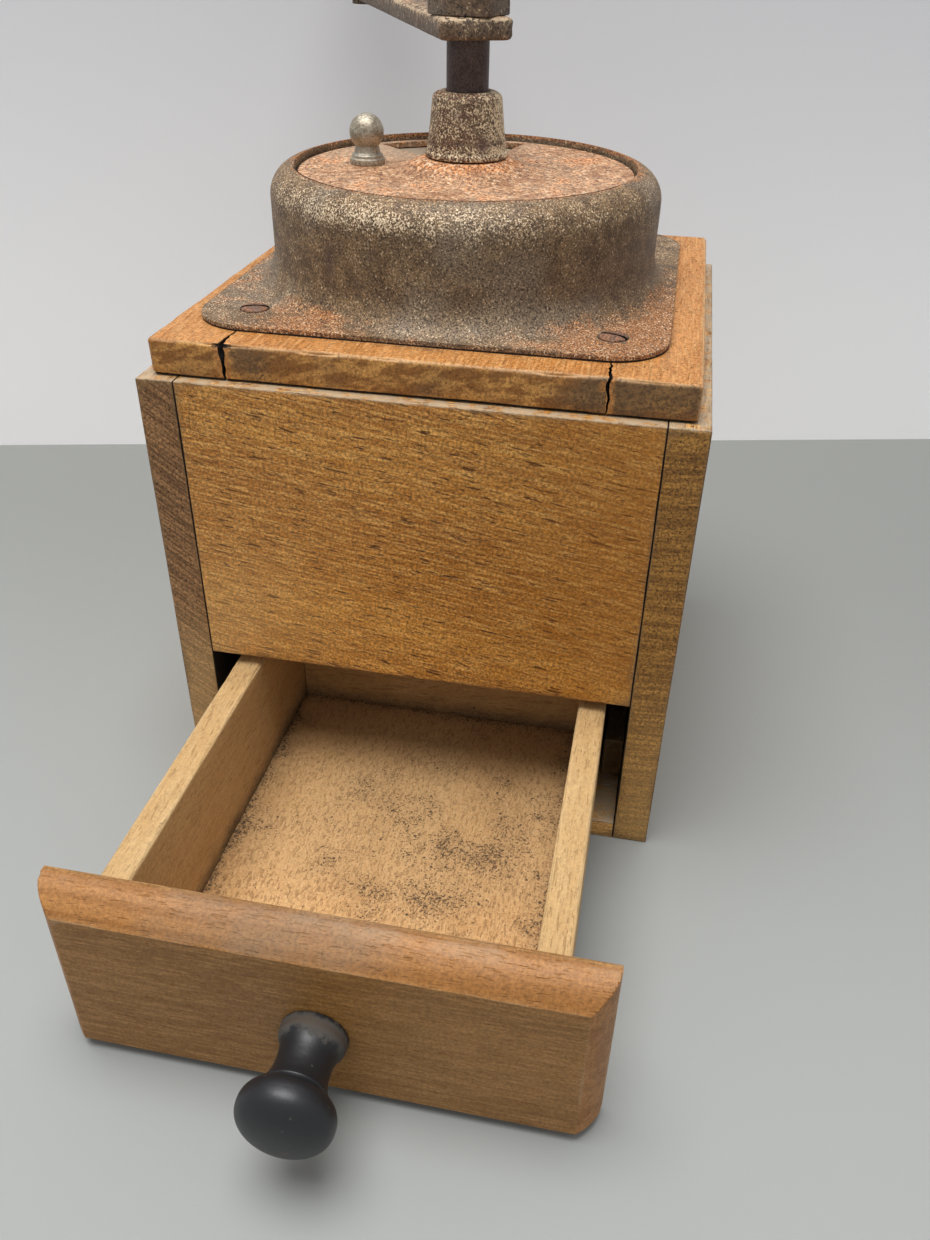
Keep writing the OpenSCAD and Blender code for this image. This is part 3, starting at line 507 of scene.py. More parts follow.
# A thin ragged wedge that follows the grain in from the front edge
def crackTool(name, x, width, sway, jag, seed):
    low, high = boxOf("top_board")
    end = low[1] + crackDepth
    depth = np.linspace(low[1] - 2, end, 56)
    rise = np.linspace(low[2] - 1, high[2] + 1, 36)
    y, z = (a.ravel() for a in np.meshgrid(depth, rise, indexing="ij"))
    place = np.stack([0 * y, y, z], 1)
    middle = x + fuzz(place, 5, seed) * sway + fuzz(place, 1.6, seed + 5) * jag
    taper = np.clip((end + 0.5 - y) / crackDepth, 0.03, 1)
    gape = 0.55 + 0.6 * np.clip((z - low[2]) / (high[2] - low[2]), 0, 1)
    half = width / 2 * taper * gape * (0.85 + 0.5 * fuzz(place, 2.2, seed + 9))
    half = np.maximum(half, 0.03)
    ids = np.arange(len(y)).reshape(len(depth), len(rise))
    points = np.concatenate([np.stack([middle + side * half, y, z], 1) for side in (-1, 1)])
    return makePiece(name, points, slabFaces(ids), {})


# Marks the points that a rule picks as a deep gap, painted near black as painted shade
def blacken(piece, rule):
    place, normal = np.empty((2, 3 * len(piece.data.vertices)), np.float32)
    piece.data.vertices.foreach_get("co", place)
    piece.data.vertices.foreach_get("normal", normal)
    layer = piece.data.attributes["soil"].data
    soil = np.empty(len(layer), np.float32)
    layer.foreach_get("value", soil)
    soil[rule(place.reshape(-1, 3) * 1000, normal.reshape(-1, 3))] = gapShadeMark
    layer.foreach_set("value", soil)


# Painted shade: the walls inside the cracks
def crackWalls(points, normal):
    low, high = boxOf("top_board")
    beside = np.min([np.abs(points[:, 0] - x) for x, *_ in crackSpots], axis=0) < 3.5
    inside = ((points > low + 0.15) & (points < high - 0.15)).all(1)
    return inside & beside & (np.abs(normal[:, 0]) > 0.6)


topBoard = makeBoard("topBoard", *boxOf("top_board"), 1, topShape, topSoilAndShade)
caseTop = boxOf("top_board")[0][2]
funnelRadius, seatRadius = 39.3, 49.02
funnelHole = makeRod("funnelHole", funnelRadius, caseTop - 2, boardTop + 2, (millX, millY), 128)
flangeSeat = makeRod("flangeSeat", seatRadius, boardTop - 2, boardTop + 2, (millX, millY), 128)
cracks = [crackTool(f"crack{i}", *spot) for i, spot in enumerate(crackSpots)]
carve(topBoard, [funnelHole, flangeSeat, *cracks], 50)
# Painted shade: the crack walls are painted near black
blacken(topBoard, crackWalls)
dress(topBoard, "case", "worn_beech", woodFinish("topWood", topLook), "top_board")
print("stage: top board")

# Hood: one sheet from the rim over the dome to the square flange
hoodShape = {"dome": 45.6, "height": 26.4, "rim": 39.6, "shoulder": 6.5, "sheet": 1.2,
             "sweep": 5.4, "rise": 7.5, "half": 51.4, "corner": 13, "steps": 360, "dent": 0.16}
hoodLook = {"body": (0.240, 0.148, 0.070), "dark": (0.142, 0.085, 0.042), "pale": (0.82, 0.650, 0.450),
            "cool": (0.228, 0.172, 0.116), "coolDepth": 0.7, "rust": (0.42, 0.168, 0.048),
            "rustDark": (0.20, 0.076, 0.026), "pit": (0.030, 0.018, 0.012),
            "calmTint": (0.10, 0.055, 0.042), "broad": 34, "mottle": 230, "grit": 2300, "speck": 0.5,
            "rustFrom": 0.62, "rustDepth": 0.8, "flakes": 2300, "flakeShare": 0.25, "flakeWear": 1.0,
            "paleDepth": 0.85, "pitBelow": 0.43, "pitDepth": 0.9, "metal": 0.25, "rough": 0.55,
            "relief": 0.00016}


def hoodOutline(s):
    inner = s["dome"] - s["sheet"]
    shoulderX, shoulderZ = s["dome"] - s["shoulder"], s["height"] - s["shoulder"]
    plateZ = boxOf("hood_plate")[0][2] - boardTop
    inR = s["shoulder"] - s["sheet"]
    lift = math.degrees(math.asin((plateZ - shoulderZ) / inR))
    footX, footZ = s["dome"] + s["sweep"], s["sheet"] + s["rise"]
    path = [(s["rim"], plateZ, 0), (s["rim"], s["height"] - 1.1, 0), (s["rim"], s["height"] - 0.5, 0.3)]
    path += arc(shoulderX, shoulderZ, s["shoulder"], 84, 0, 14)
    path += [(s["dome"], z, 0) for z in np.linspace(shoulderZ, footZ, 9)[1:-1]]
    path += [(footX - s["sweep"] * math.cos(a), footZ - s["rise"] * math.sin(a), 0)
             for a in np.linspace(0, math.pi / 2, 11)]
    flange = [(t, s["sheet"]) for t in np.linspace(0, 1, 9)[1:-1]]
    flange += [(1 - 0.012, s["sheet"]), (1 - 0.003, s["sheet"] - 0.12), (1, s["sheet"] - 0.4),
               (1, 0.42), (1, 0.25), (1 - 0.006, 0), (0.5, 0), (0, 0)]
    back = [(inner, 0, 0), (inner, shoulderZ / 2, 0)] + arc(shoulderX, shoulderZ, inR, 0, lift, 5)
    return path, flange, back


def makeHood():
    s = hoodShape
    path, flange, back = hoodOutline(s)
    angles = np.linspace(0, 2 * math.pi, s["steps"], endpoint=False)
    c, d = np.abs(np.cos(angles)), np.abs(np.sin(angles))
    straight = s["half"] / np.maximum(c, d)
    core = s["half"] - s["corner"]
    mid = core * (c + d)
    bow = mid + np.sqrt(np.maximum(mid ** 2 - 2 * core ** 2 + s["corner"] ** 2, 0))
    inCorner = np.minimum(straight * c, straight * d) > core
    border = np.where(inCorner, bow, straight)
    footR = s["dome"] + s["sweep"]
    rings = [(r, z) for r, z, _ in path]
    rings += [(footR + t * (border - footR), z) for t, z in flange]
    rings += [(r, z) for r, z, _ in back]
    points = ringPoints(rings, angles)
    radius = np.hypot(points[:, 0], points[:, 1])
    outer = (points[:, 2] > s["sheet"] + 0.5) & (points[:, 2] < s["height"] - 1) & (radius > 40)
    dent = fuzz(points, 14, 3) * s["dent"] + fuzz(points, 4, 4) * 0.05
    points[:, :2] *= (1 + np.where(outer, dent / radius, 0))[:, None]
    under = (points[:, 2] < 0.3) & (radius > footR)
    sag = np.abs(fuzz(points, 16, 6)) * 0.18 * np.clip((radius - footR) / 4, 0, 1)
    points[:, 2] += np.where(points[:, 2] > 0.1, sag, 0)
    z = points[:, 2]
    foot = np.exp(-((z - 2.2) / 2.2) ** 2)
    patchy = 0.9 + 0.35 * fuzz(points, 6, 7)
    wear = np.exp(-((z - 22.6) / 2.8) ** 2) * (0.15 + 0.6 * near(points, -108, 80)) * patchy
    wear += np.exp(-(z / 2.6) ** 2) * 0.25 * patchy
    soil = foot * (0.1 + 0.6 * near(points, 243, 20) + 0.4 * near(points, -20, 60))
    soil += near(points, -38, 30) * np.clip((radius - 50) / 6, 0, 1) * 0.45
    soil += np.clip(z - 25.4, 0, 1) * (0.15 + 0.55 * near(points, 90, 150))
    soil += np.clip((radius - 47) / 4, 0, 1) * 0.16
    # Painted shade: the flange's underside and lower edge, and the seam inside the rim at the front, painted
    # near black
    seam = (radius < s["rim"] + 0.3) & (points[:, 1] < -16) & (z > 25.5)
    soil[under | seam] = gapShadeMark
    soil += near(points, 150, 70) * 0.15 + np.clip((z - 20) / 4, 0, 1) * 0.1
    streak = near(points, 242, 2.6) * np.clip((z - 7) / 5, 0, 1) * np.clip((19 - z) / 6, 0, 1)
    # Painted shade: the dome's right front made darker round mid height
    shade = near(points, -28, 50) * np.exp(-((z - 11) / 7) ** 2) * 0.4
    # calm holds a dark streak on the front left and the painted shade on the right front
    marks = {"wear": wear, "soil": soil, "calm": np.clip(streak * 0.9 + shade, 0, 1)}
    points += (millX, millY, boardTop)
    return makePiece("hoodSheet", points, ringFaces(len(rings), s["steps"], True), marks, 38)


hood = makeHood()
screwReach, screwHole = 39.5, 3.3
screwSpots = [(millX + x * screwReach, millY + y * screwReach) for x in (-1, 1) for y in (-1, 1)]
carve(hood, [makeRod(f"screwHole{i}", screwHole, boardTop - 1, boardTop + 4, spot, 48)
             for i, spot in enumerate(screwSpots)], 38)
dress(hood, "case", "hood_steel", pittedFinish("hoodSteel", hoodLook), "hood", "hood_flange")
print("stage: hood")

# Lid: rusted disc with a raised middle and a fill window
lidLook = {**hoodLook, "body": (0.47, 0.255, 0.128), "dark": (0.28, 0.132, 0.062),
           "pale": (0.70, 0.540, 0.370), "cool": (0.44, 0.310, 0.200), "coolDepth": 0.6,
           "rust": (0.60, 0.255, 0.092), "rustDark": (0.33, 0.130, 0.050), "pit": (0.13, 0.066, 0.036),
           "calmTint": (0.38, 0.280, 0.190), "broad": 70, "mottle": 260, "grit": 1500, "speck": 0.45,
           "rustFrom": 0.47, "rustDepth": 0.85, "flakes": 1100, "flakeShare": 0.6, "paleDepth": 0.8,
           "pitBelow": 0.42, "metal": 0.12, "rough": 0.6, "relief": 0.0002}


def lidCalm(p):
    off = np.abs(offFrom(p, 122))
    return np.clip(1.3 - off / 45, 0, 1) * np.clip((np.hypot(p[:, 0], p[:, 1]) - 14) / 6, 0, 1) * 0.8


# Rust round the raised middle; painted shade: the disc's edge painted near black
def lidSoilAndShade(p):
    radius = np.hypot(p[:, 0], p[:, 1])
    return np.exp(-np.abs(radius - 10.5) / 1.6) * 0.5 + np.where(radius > 38.9, gapShadeMark, 0)


lidDisc = [(7.55, 144.6, 0.1), (39.2, 144.6, 0.2), (39.2, 145.8, 0.4), (34, 145.8, 0), (28, 145.8, 0),
           (22, 145.8, 0), (15.8, 145.8, 2.5), (10.2, 148.4, 1.2), (9.0, 148.5, 0), (7.55, 148.5, 0.2)]
lid = makeLathe("lidDisc", lidDisc, True, (millX, millY, 0), {"calm": lidCalm, "soil": lidSoilAndShade}, 256)


# Fill window: middle and half width in degrees, radii and heights of the cut
windowShape = {"middle": 107, "half": 30, "far": 36.5, "close": 18, "low": 143.9, "high": 147.5}


def windowTool():
    s = windowShape
    bow = np.radians(np.linspace(s["middle"] - s["half"], s["middle"] + s["half"], 25))
    ring = [(s["far"] * math.cos(a), s["far"] * math.sin(a)) for a in bow]
    ring += [(s["close"] * math.cos(a), s["close"] * math.sin(a)) for a in bow[::-1]]
    count = len(ring)
    points = [(millX + x, millY + y, z) for z in (s["low"], s["high"]) for x, y in ring]
    caps = [tuple(range(count))[::-1], tuple(range(count, 2 * count))]
    return makePiece("lidWindow", points, caps + ringFaces(2, count, False), {})


carve(lid, [windowTool()], 38)
dress(lid, "lid", "lid_steel", pittedFinish("lidSteel", lidLook), "lid_disc")

# Lid knob: a small turned nickel button
nickelLook = {**hoodLook, "body": (0.43, 0.380, 0.297), "dark": (0.29, 0.245, 0.182),
              "pale": (0.66, 0.610, 0.510), "rust": (0.32, 0.200, 0.100), "rustDark": (0.18, 0.110, 0.062),
              "pit": (0.13, 0.100, 0.070), "cool": (0.43, 0.395, 0.320), "broad": 90, "mottle": 500,
              "grit": 1900, "speck": 0.3, "rustFrom": 0.64, "rustDepth": 0.6, "flakeShare": 0.15,
              "paleDepth": 0.5, "pitBelow": 0.37, "metal": 0.65, "rough": 0.42, "relief": 0.00012}
nickel = pittedFinish("nickel", nickelLook)
knobLow, knobHigh = boxOf("lid_knob")
button = [(0, 0, 0), (4.1, 0, 0.2), (4.1, 1.3, 0.4), (3.7, 1.5, 0.1), (3.7, 2.1, 0.4), (3.0, 2.5, 0.5),
          (2.9, 3.4, 0.6)]
button += arc(0, 6.9, 4.0, -47, 88, 22) + [(0, 10.8, 0)]
lidKnob = makeLathe("lidButton", button, False,
                    (*(knobLow + knobHigh)[:2] / 2, knobLow[2]),
                    {"soil": lambda p: np.exp(-p[:, 2] / 1.5) * 0.6})
dress(lidKnob, "lid", "nickel", nickel, "lid_knob")

# Collar: flaked plating over brown rust, with a dark patch to the right
collarLook = {**hoodLook, "body": (0.175, 0.105, 0.056), "dark": (0.120, 0.058, 0.032),
              "pale": (0.76, 0.610, 0.400), "cool": (0.20, 0.145, 0.088), "rust": (0.22, 0.096, 0.046),
              "rustDark": (0.11, 0.055, 0.036), "calmTint": (0.100, 0.052, 0.044), "broad": 110,
              "mottle": 420, "grit": 2200, "rustFrom": 0.58, "flakes": 2300, "flakeShare": 0.45,
              "flakeWear": 0.5, "paleDepth": 0.92, "pitBelow": 0.42, "metal": 0.2}
collarLow = boxOf("collar")[0]
collarFoot = 148.8
# Dark patches: angle, height above the foot, half width in degrees, half height, strength
darkPatches = [(-54, 3.4, 15, 2.8, 0.85), (-92, 9.2, 20, 2.0, 0.5), (100, 7, 60, 5, 0.6)]


def collarCalm(p):
    found = np.zeros(len(p))
    for angle, height, width, reach, strength in darkPatches:
        away = np.hypot(offFrom(p, angle) / width, (p[:, 2] - collarFoot - height) / reach)
        found += np.clip(1.4 - away * 1.4, 0, 1) * strength
    return np.clip(found, 0, 1)


def collarWear(p):
    up = p[:, 2] - collarFoot
    ring = np.clip((3.4 - up) / 0.6, 0, 1)
    return np.clip((up - 3.4) / 2, 0, 1) * 0.7 + ring + near(p, -5, 60) * 0.95


def collarSoil(p):
    foot = np.exp(-np.abs(p[:, 2] - collarFoot) / 0.8)
    return foot * 0.9 + np.exp(-np.abs(p[:, 2] - 162) / 0.9) * 0.7


sleeve = [(4.82, collarLow[2], 0), (6.5, collarLow[2], 0), (6.5, 144.3, 0), (7.5, 144.3, 0),
          (7.5, collarFoot, 0), (9.5, collarFoot, 0.3), (9.45, 149.8, 0.4), (9.2, 150.1, 0.2),
          (9.05, 151.2, 0), (8.9, 152.4, 0.2), (8.8, 152.6, 0.2), (8.66, 153.8, 0), (8.52, 155, 0),
          (8.4, 156, 0), (8.3, 157, 0), (8.2, 158, 0), (8.1, 159, 0), (7.98, 160.2, 0), (7.85, 161.4, 1.2),
          (6.4, 162.3, 1.0), (4.82, 162.3, 0.4)]
collar = makeLathe("collarSleeve", sleeve, True, (millX, millY, 0),
                   {"calm": collarCalm, "wear": collarWear, "soil": collarSoil})
dress(collar, "case", "nickel", pittedFinish("collarSteel", collarLook), "collar")
print("stage: lid, lid knob and collar")

# Crank arm: forged bar, knocked along its edges
crankLook = {**hoodLook, "body": (0.164, 0.102, 0.059), "dark": (0.100, 0.061, 0.036),
             "pale": (0.50, 0.365, 0.230), "cool": (0.150, 0.112, 0.077), "rust": (0.33, 0.165, 0.088),
             "rustDark": (0.17, 0.088, 0.052), "broad": 60, "mottle": 330, "grit": 1500, "rustFrom": 0.62,
             "flakes": 850, "flakeShare": 0.3, "pitBelow": 0.40, "pitDepth": 0.85, "metal": 0.2,
             "rough": 0.55, "relief": 0.0002}
armLow, armHigh = boxOf("crank_arm")
armShape = {"half": 8.2, "tip": 6.5, "tail": 8.4, "corner": 2.2, "spindle": 4.98, "pin": 3.02}
crankTurn, crankLength = math.radians(115), 135


def makeArm():
    half, tip, tail, corner = (armShape[key] for key in ("half", "tip", "tail", "corner"))
    plan = arc(-tail + corner, -half + corner, corner, 180, 270, 8)
    plan += [(x, -half + (half - tip) * max(0, x) / crankLength, 0)
             for x in np.linspace(-tail + corner, crankLength, 90)[1:]]
    plan += arc(crankLength, 0, tip, -88, 88, 28)
    plan += [(x, half - (half - tip) * max(0, x) / crankLength, 0)
             for x in np.linspace(crankLength, -tail + corner, 90)[:-1]]
    plan += arc(-tail + corner, half - corner, corner, 90, 180, 8)
    flat = np.array([p[:2] for p in plan])
    ahead, behind = np.roll(flat, -1, 0), np.roll(flat, 1, 0)
    inward = np.stack([behind[:, 1] - ahead[:, 1], ahead[:, 0] - behind[:, 0]], 1)
    inward /= np.linalg.norm(inward, axis=1, keepdims=True)
    low, high = armLow[2], armHigh[2]
    rounds = [(1.6, low), (0.75, low + 0.1), (0.25, low + 0.35), (0, low + 0.9),
              (0.05, (low + high) / 2), (0, high - 0.9), (0.25, high - 0.35), (0.75, high - 0.1),
              (1.6, high)]
    rings = []
    for inset, z in rounds:
        ring = np.column_stack([flat + inward * inset, np.full(len(flat), z)])
        knock = np.abs(fuzz(ring, 6, 31)) * (0.25 if 0 < inset < 1 else 0.12)
        rings.append(ring + np.column_stack([inward, 0 * knock]) * knock[:, None])
    count = len(flat)
    caps = [tuple(range(count))[::-1], tuple(range((len(rings) - 1) * count, len(rings) * count))]
    points = np.concatenate(rings)
    spin = np.array([[math.cos(crankTurn), math.sin(crankTurn)],
                     [-math.sin(crankTurn), math.cos(crankTurn)]])
    points[:, :2] = points[:, :2] @ spin + (millX, millY)
    z = points[:, 2]
    marks = {"wear": np.exp(-np.abs(z - high + 0.4) / 0.5) * 1.3,
             "soil": np.clip((z - high + 0.3) / 0.3, 0, 1) * 0.45}
    return makePiece("crankBar", points, caps + ringFaces(len(rings), count, False), marks, 38)


arm = makeArm()
tipX = millX + crankLength * math.cos(crankTurn)
tipY = millY + crankLength * math.sin(crankTurn)
spindleHole = makeRod("spindleHole", armShape["spindle"], armLow[2] - 2, armHigh[2] + 2, (0, 0), 4)
spindleHole.data.transform(Matrix.Translation((millX * mm, millY * mm, 0))
                           @ Matrix.Rotation(crankTurn + math.pi / 4, 4, "Z"))
carve(arm, [spindleHole,
            makeRod("pinHole", armShape["pin"], armLow[2] - 2, armHigh[2] + 2, (tipX, tipY), 48)], 38)
crankSteel = pittedFinish("crankSteel", crankLook)
dress(arm, "crank", "nickel", crankSteel, "crank_arm")


# Crank nut: a hexagon with turned corners on top
nutShape = {"across": 15.6, "bore": 3.05, "turn": -79, "steps": 144}


def makeNut():
    low, high = boxOf("crank_nut")
    across, bore, steps = nutShape["across"] / 2, nutShape["bore"], nutShape["steps"]
    angles = np.linspace(0, 2 * math.pi, steps, endpoint=False)
    side = across / np.cos((angles + math.pi / 6) % (math.pi / 3) - math.pi / 6)
    side = np.minimum(side, across * 1.14)
    foot, top = low[2], high[2]
    outer = [(foot, -0.25), (foot + 0.25, 0), (foot + 4, 0), (top - 1.5, 0), (top - 1.1, 0),
             (top - 0.7, 0), (top - 0.35, 0), (top - 0.1, -0.1)]
    rings = [(np.minimum(side + grow, across * 0.97 + (top - z) * 1.5), z) for z, grow in outer]
    rings += [(across * 0.94, top), (3.6, top), (bore, top - 0.5), (bore, foot)]
    points = ringPoints(rings, angles + math.radians(nutShape["turn"])) + (millX, millY, 0)
    points = points + fuzz(points, 5, 41)[:, None] * 0.06
    wear = np.clip((points[:, 2] - top + 1.5) / 1.5, 0, 1) * 0.8
    return makePiece("crankHexNut", points, ringFaces(len(rings), steps, True), {"wear": wear}, 30)


dress(makeNut(), "crank", "nickel", crankSteel, "crank_nut")

# Black lacquered wooden knobs on the crank and the drawer
blackLook = {"base": (0.010, 0.0105, 0.0125), "soft": (0.018, 0.018, 0.020),
             "worn": (0.075, 0.045, 0.027), "dust": (0.085, 0.075, 0.062),
             "rust": (0.060, 0.040, 0.027)}


def lacquerFinish(name, look):
    f = Finish(name)
    wear, soil = f.mark("wear"), f.mark("soil")
    broad, fine = f.cloud(55, detail=4), f.cloud(420, detail=5, rough=0.65)
    lines = f.cloud(1, f.warp((60, 700, 60)), 3)
    colour = f.blend(f.span(broad, 0.35, 0.7), look["base"], look["soft"])
    rubbed = f.span(f.total(wear, f.both(fine, 0.7)), 0.75, 1.2)
    colour = f.blend(rubbed, colour, look["worn"])
    dusty = f.span(f.total(f.both(soil, 0.5), fine), 0.62, 0.85)
    colour = f.blend(f.both(dusty, 0.75), colour, look["dust"])
    rusty = f.span(f.total(f.both(soil, 0.6), broad), 0.78, 1.05)
    colour = f.blend(f.both(rusty, 0.7), colour, look["rust"])
    specks = f.spots(0.10, 0.22, 750)
    colour = f.blend(f.both(specks, 0.6), colour, look["dust"])
    rough = f.span(f.total(broad, dusty), 0.3, 1.4, 0.42, 0.8)
    height = f.total(f.both(fine, 0.5), f.both(lines, 0.4), f.both(rubbed, -0.4))
    return f.close(colour, rough, height, 0.00012)


blackWood = lacquerFinish("blackWood", blackLook)
gripLow = boxOf("crank_knob")[0]
grip = [(3.05, 0, 0.3), (10, 0, 0.5), (10, 3.9, 1.2), (9.6, 4.3, 0.6)]
grip += [(8.7, 7.5, 2), (8.5, 13, 4), (8.8, 18, 4), (10.8, 23, 4)]
grip += arc(4.25, 33.25, 10.75, -28, 88, 20)
grip += [(5.6, 44, 0.4), (5.3, 41.7, 0), (3.05, 41.7, 0)]
crankKnob = makeLathe("crankGrip", grip, True, (tipX, tipY, gripLow[2]),
                      {"wear": lambda p: np.clip((p[:, 2] - 38) / 6, 0, 1) * 0.5,
                       "soil": lambda p: np.exp(-np.abs(p[:, 2] - 4) / 1.5) * 0.6})
dress(crankKnob, "grip", "black_wood", blackWood, "crank_knob")

pullLow, pullHigh = boxOf("drawer_knob")
pull = [(0, 0, 0), (6.7, 0, 0.3), (6.75, 1.3, 0.6), (6.5, 2.7, 0.6), (5.9, 3.4, 0.6), (5.45, 4.8, 1),
        (5.25, 6.6, 1.4), (5.3, 8.8, 1.2), (5.7, 10.6, 1), (6.4, 12.1, 0.4)]
# The bun: fuller than an ellipse
bunShape = {"radius": 9.25, "middle": 16.75, "half": 5.25, "power": 0.87}
for a in np.radians(np.linspace(-52, 90, 30)):
    outward = math.cos(a) ** bunShape["power"]
    upward = abs(math.sin(a)) ** bunShape["power"] * math.copysign(1, a)
    pull.append((bunShape["radius"] * outward, bunShape["middle"] + bunShape["half"] * upward, 0))
pullSolid = makeLathe("drawerPull", pull[:-1] + [(0, 22, 0)], False, (0, 0, 0),
                      {"wear": lambda p: np.exp(-(np.hypot(p[:, 0] - 1, p[:, 1] + 3) / 3.2) ** 2)
                       * (p[:, 2] > 18) * 0.6,
                       "soil": lambda p: np.exp(-np.abs(p[:, 2] - 2) / 1.6) * 1.1})
toFront = Matrix.Translation((0, pullHigh[1] * mm, (pullLow + pullHigh)[2] / 2 * mm))
pullSolid.data.transform(toFront @ Matrix.Rotation(math.pi / 2, 4, "X"))
dress(pullSolid, "drawer", "black_wood", blackWood, "drawer_knob")
print("stage: crank and knobs")

# Drawer front: rounded bevel along the top and both ends, mitred at the corners
frontShape = {"bevel": 4.5, "edge": 1.5, "bow": 0.55}
drawerLook = {**honey, "turn": (0, 0, 0), "base": (0.25, 0.132, 0.042), "dark": (0.185, 0.093, 0.027),
              "pale": (0.36, 0.200, 0.072), "ringTint": (0.15, 0.073, 0.022), "rings": (7, 300, 330),
              "endBase": (0.35, 0.165, 0.054), "endDark": (0.25, 0.110, 0.032), "pores": (200, 1500, 1500),
              "poreFrom": 0.64, "poreDepth": 0.3, "worn": (0.44, 0.30, 0.175), "wear": 0.5, "speck": 0.3,
              "soilTint": (0.25, 0.180, 0.120), "soilDepth": 0.6, "powder": 0.25, "rough": 0.5}


def makeDrawerFront():
    s = frontShape
    low, high = boxOf("drawer_front")
    fine = np.linspace(0, s["bevel"], 13)
    x = np.concatenate([low[0] + fine, np.linspace(low[0] + s["bevel"], high[0] - s["bevel"], 50)[1:-1],
                        high[0] - fine[::-1]])
    z = np.concatenate([[low[2], low[2] + 0.4], np.linspace(low[2] + 1, high[2] - s["bevel"], 20)[:-1],
                        high[2] - fine[::-1]])
    gx, gz = np.meshgrid(x, z, indexing="ij")
    out = np.minimum(np.minimum(gx - low[0], high[0] - gx), high[2] - gz)
    t = np.clip(out / s["bevel"], 0, 1)
    curve = 1 - np.sqrt(np.clip(1 - (1 - t) ** 2, 0, 1))
    drop = (high[1] - low[1] - s["edge"]) * ((1 - s["bow"]) * (1 - t) + s["bow"] * curve)
    front = np.stack([gx, low[1] + drop, gz], -1).reshape(-1, 3)
    knocks = np.abs(fuzz(front, 7, 51)) * 0.22 * np.exp(-np.abs(out.ravel() - s["bevel"]) / 1.0)
    front[:, 1] += knocks + np.abs(fuzz(front, 30, 52)) * 0.15
    foot = front[:, 2] < low[2] + 0.1
    front[foot, 1] += 0.4
    count = len(front)
    back = front.copy()
    back[:, 1] = high[1]
    faces = slabFaces(np.arange(count).reshape(len(x), len(z)))
    onBevel = np.clip((s["bevel"] + 0.3 - out.ravel()) / 0.6, 0, 1)
    soil = onBevel * np.exp(-((front[:, 0] + 12) / 26) ** 2) * 0.45 + 0.1
    arris = np.minimum(np.abs(out.ravel() - s["bevel"]) * 1.5, out.ravel()) + 0.5
    rear = np.full(count, 0.3)
    marks = {"ends": np.concatenate([onBevel, 0 * rear]), "soil": np.concatenate([soil, rear]),
             "edge": np.concatenate([np.clip(1 - arris / 3, 0, 1), 0 * rear])}
    return makePiece("drawerFace", np.concatenate([front, back]), faces, marks, 28)


drawerFace = makeDrawerFront()
screwLow, screwHigh = boxOf("drawer_knob_screw")
headDepth = screwHigh[1]
bore = [(0, headDepth + 1, 0), (3.3, headDepth + 1, 0), (3.3, headDepth - 0.7, 0),
        (1.8, headDepth - 2, 0), (1.8, headDepth - 16, 0), (0, headDepth - 16, 0)]
boreTool = makeLathe("screwBore", bore, False, (0, 0, 0), steps=48)
screwZ = (screwLow + screwHigh)[2] / 2
boreTool.data.transform(Matrix.Translation((0, 0, screwZ * mm))
                        @ Matrix.Rotation(-math.pi / 2, 4, "X"))
carve(drawerFace, [boreTool], 28)
dress(drawerFace, "drawer", "beech", woodFinish("drawerFaceWood", drawerLook), "drawer_front")

# Drawer box: pale walls, and a floor dark with coffee dust along its edges
wallShape = {"radius": 0.7, "cell": 2.2, "knock": 6, "dent": 0.6, "ripple": 0.12}
floorLow, floorHigh = boxOf("drawer_floor")


def wallSoil(points, normal, edge):
    down = np.exp(-np.clip(points[:, 2] - floorHigh[2], 0, 99) / 3.5)
    inside = (np.abs(points[:, 0]) < floorHigh[0] + 0.8) * 1.0
    return down * inside * 0.6 + 0.12


# Where ground coffee has gathered on the floor
coffeeSpots = [(14, -78), (22, -92), (2, -102), (-12, -82), (-6, -66), (34, -106), (8, -112), (26, -60)]


def floorSoil(points, normal, edge):
    x, y = points[:, 0], points[:, 1]
    rim = np.minimum(np.minimum(x - floorLow[0], floorHigh[0] - x),
                     np.minimum(y - floorLow[1], floorHigh[1] - y))
    smudge = sum(np.exp(-((x - u) / 13) ** 2 - ((y - v) / 13) ** 2) for u, v in coffeeSpots) * 0.16
    patchy = 0.16 * fuzz(points, 12, 65) + 0.12 * fuzz(points, 4, 66)
    return np.exp(-np.clip(rim, 0, 99) / 2.6) * 0.5 + smudge + patchy + 0.2


# Painted light: the front of the drawer floor, out from under the case, made brighter
def floorFrontLight(points):
    return np.clip((-92 - points[:, 1]) / 40, 0, 1) * 0.4


wallLook = {**pale, "turn": (0, 15, -90)}
walls = [("leftWall", "drawer_left_wall", 1, wallLook, 61),
         ("rightWall", "drawer_right_wall", 1, {**wallLook, "turn": (0, 65, -90)}, 62),
         ("backWall", "drawer_back_wall", 0, {**pale, "turn": (0, 3, 0)}, 63)]
for name, node, grain, look, seed in walls:
    wall = makeBoard(name, *boxOf(node), grain, {**wallShape, "seed": seed}, wallSoil)
    dress(wall, "drawer", "pale_beech", woodFinish(name + "Wood", look), node)
floorLook = {**pale, "turn": (0, 90, -74), "base": (0.54, 0.320, 0.140), "dark": (0.46, 0.255, 0.102),
             "pale": (0.62, 0.400, 0.195), "poreFrom": 0.56, "poreDepth": 0.55, "pores": (300, 1500, 1500),
             "soilTint": (0.20, 0.120, 0.060), "soilDepth": 0.3, "powder": 0.85, "crumbs": 0.4,
             "wear": 0.0, "rough": 0.75}
floorBoard = makeBoard("floorBoard", floorLow, floorHigh, 1,
                       {**wallShape, "radius": 0.3, "cell": 1.8, "lift": floorFrontLight, "seed": 64}, floorSoil)
dress(floorBoard, "drawer", "pale_beech", woodFinish("floorWood", floorLook), "drawer_floor")
print("stage: drawer")


